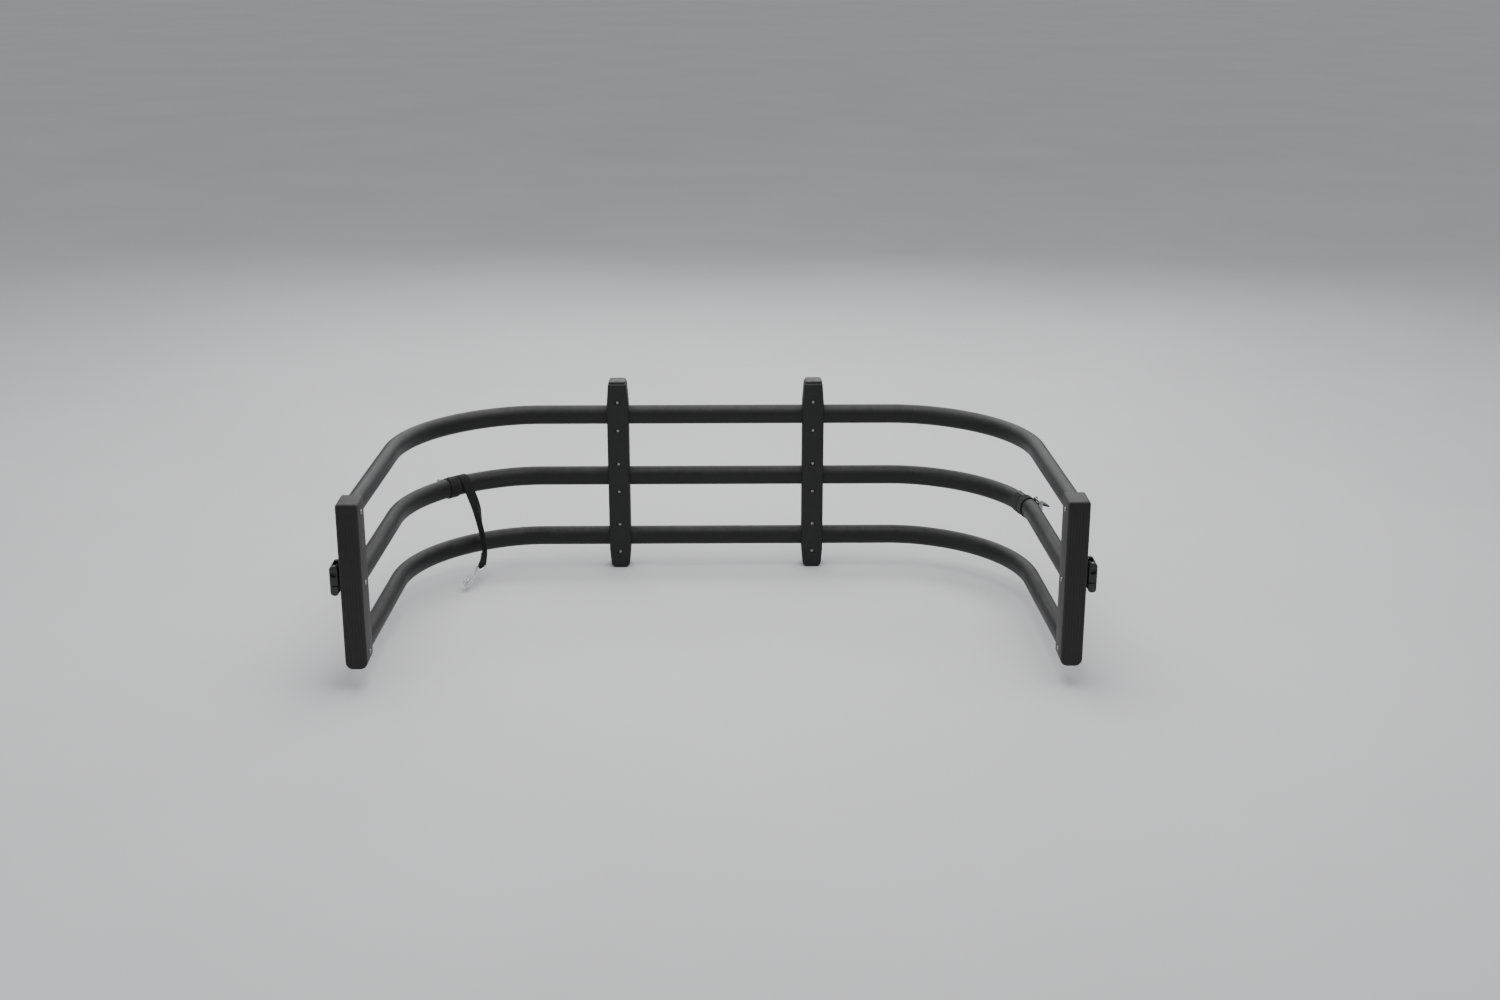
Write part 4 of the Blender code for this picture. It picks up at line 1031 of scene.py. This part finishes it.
buckle = {"half": 0.0165, "tall": 0.017, "deep": 0.010,
          "leverOut": 0.0062, "leverUp": 0.0080, "leverHalf": 0.0127, "bayHalf": 0.0135,
          "floor": 0.0022, "slotHalf": 0.0130, "slotTall": 0.0030, "pinHole": 0.0013,
          "barrel": 0.0033, "teeth": 22, "ribs": 7}


def makeBuckle(label, side):
    centre, tangent, outward = onCorner(strap[label + "At"], side)
    back = tubing["halfDeep"] + strap["bandIn"] + strap["thick"] + strap["gap"]

    def at(along, out, lift):
        return centre + tangent * along + outward * out + up * lift

    def slab(a0, a1, o0, o1, z0, z1):
        base = ((a0, o0), (a1, o0), (a1, o1), (a0, o1))
        return loft(np.array([[at(a, o, z) for a, o in base] for z in (z0, z1)]))

    rings = []
    for out, less in ((0.0, 0.0012), (0.0004, 0.0004), (0.0012, 0.0), (buckle["deep"], 0.0)):
        ring = roundedOutline(buckle["half"] - less, buckle["tall"] - less,
                              (0.0032 - less,) * 4)
        rings.append(centre + outward * (back + out) + np.outer(ring[:, 0], tangent)
                     + np.outer(ring[:, 1], up))
    frameShape = rawObject("strapBuckle_%s" % label, loft(np.array(rings)))
    deep = buckle["deep"]
    bay, slot = buckle["bayHalf"], buckle["slotHalf"]
    carve(frameShape, [slab(-bay, bay, back + buckle["floor"], back + deep + 0.002,
                            -0.019, 0.019)])
    carve(frameShape, [slab(-slot, slot, back - 0.002, back + 0.004, z, z + buckle["slotTall"])
                       for z in (-0.0135, 0.0105)])
    for sign in (1, -1):
        pivot = at(sign * 0.0145, back + buckle["leverOut"], buckle["leverUp"])
        carve(frameShape, [loft(lathed(pivot, sign * tangent,
                                       ((-0.004, buckle["pinHole"]),
                                        (0.004, buckle["pinHole"])), 24))])
    finishPiece(frameShape, finishes["buckle"], "extender_frame", ("buckle_%s" % label,),
                sharp=35, bevel=0.0003)
    # cam lever: toothed barrel, thumb tab with ribs and a turned lip
    pin = at(0.0, back + buckle["leverOut"], buckle["leverUp"])
    turn = np.radians(75 + 210 * np.arange(57) / 56)
    tooth = buckle["barrel"] - 0.00025 * (0.5 + 0.5 * np.cos(buckle["teeth"] * turn))
    barrel = np.column_stack((tooth * np.cos(turn), tooth * np.sin(turn)))
    under = smoothPath(((0.0046, -0.0046), (0.0120, -0.0071), (0.0195, -0.0094)), 10)
    lip = smoothPath(((0.0195, -0.0094), (0.0216, -0.0090), (0.0224, -0.0076),
                      (0.0215, -0.0057), (0.0196, -0.0052)), 5)[1:]
    s = np.linspace(0, 1, 61)[1:]
    ribs = 0.00035 * np.sin(2 * np.pi * buckle["ribs"] * s) ** 2 * (s > 0.02) * (s < 0.94)
    top = np.column_stack((0.0196 - 0.0136 * s, -0.0052 + 0.0055 * s + ribs - 0.0002))
    outline = np.vstack((barrel, under, lip, top))
    half = buckle["leverHalf"]
    rings = []
    for along, shrink in ((-half, 0.94), (-half + 0.0003, 0.985), (-half + 0.0008, 1.0),
                          (half - 0.0008, 1.0), (half - 0.0003, 0.985), (half, 0.94)):
        around = outline.mean(axis=0) + (outline - outline.mean(axis=0)) * shrink
        rings.append(pin + tangent * along + np.outer(around[:, 0], outward)
                     + np.outer(around[:, 1], up))
    lever = rawObject("strapLever_%s" % label, loft(np.array(rings)))
    finishPiece(lever, finishes["lever"], "lever_%s" % label,
                ("buckle_lever_%s" % label,), sharp=45)
    for sign in (1, -1):
        end = pin + tangent * sign * (half + 0.0002)
        rivet = rawObject("strapPin_%s_%s" % (label, "a" if sign > 0 else "b"),
                          loft(lathed(end, sign * tangent,
                                      ((0.0, 0.0011), (0.0034, 0.0011), (0.0035, 0.0019),
                                       (0.0040, 0.0018), (0.0044, 0.0011)), 24)))
        finishPiece(rivet, finishes["stud"], "extender_frame")


for label, side in sides:
    makeBand(label, side)
    makeBuckle(label, side)
makeLeftStrap()
makeRightStrap()
print("straps: 2")

# ---- joiners inside the uprights keep their own shape
for row, height in rows:
    for label, side in sides:
        sleeve = bpy.data.objects["joiner_%s_%s" % (row, label)]
        for place in sleeve.material_slots:
            place.material = finishes["joiner"]

# ---- floor and light
studio = {"floor": -0.2225, "reach": 30.0, "sky": 0.50, "skyColour": (0.93, 0.95, 1.0, 1.0),
          "lamps": (("overhead", (0.1, 0.5, 2.6), (0.0, 0.4, 0.0), 3.6, 2.4, 95.0),
                    ("behind", (0.3, 3.4, 1.9), (0.0, 0.4, 0.0), 4.0, 1.6, 55.0),
                    ("leftFill", (-2.9, -1.6, 1.6), (0.0, 0.3, 0.0), 1.6, 1.6, 12.0))}


def makeFloor():
    # one flat disc, its rings at growing radii
    radii = np.array((0.4, 1.5, 4.0, 12.0, studio["reach"]))
    turn = 2 * np.pi * np.arange(64) / 64
    rings = np.stack((radii[:, None] * np.cos(turn), radii[:, None] * np.sin(turn),
                      np.full((5, 64), studio["floor"])), -1)
    points = rings.reshape(-1, 3)
    low = np.arange(4)[:, None] * 64
    k = np.arange(64)[None, :]
    quads = np.stack((low + k, low + 64 + k, low + 64 + (k + 1) % 64, low + (k + 1) % 64), -1)
    floor = rawObject("studioFloor", (points, quads.reshape(-1, 4).tolist()
                                      + [list(range(64))], None))
    finish, shader, start = newFinish("studioPaper", 0.0, 0.8, 0.3)
    cloud = grainOf(start, 1.3, 4.0)
    start.feed(shader.inputs["Base Color"],
               blendColours(between(cloud, 0.3, 0.7), (0.60, 0.60, 0.605, 1.0),
                            (0.64, 0.64, 0.645, 1.0)))
    start.feed(shader.inputs["Normal"], raised(start, ((grainOf(start, 420.0), 0.00008),)))
    floor.data.materials.append(finish)


def makeLamp(name, place, target, wide, deep, power):
    data = bpy.data.lights.new(name, "AREA")
    data.shape = "RECTANGLE"
    data.size = wide
    data.size_y = deep
    data.energy = power
    lamp = bpy.data.objects.new(name, data)
    bpy.context.scene.collection.objects.link(lamp)
    lamp.location = place
    aim = unit(np.array(place) - np.array(target))
    lamp.rotation_euler = (math.acos(aim[2]), 0.0, math.atan2(aim[0], -aim[1]))


makeFloor()
for lamp in studio["lamps"]:
    makeLamp(*lamp)
sky = bpy.data.worlds.new("paleSky")
sky.use_nodes = True
sky.node_tree.nodes["Background"].inputs["Color"].default_value = studio["skyColour"]
sky.node_tree.nodes["Background"].inputs["Strength"].default_value = studio["sky"]
bpy.context.scene.world = sky
print("studio ready")
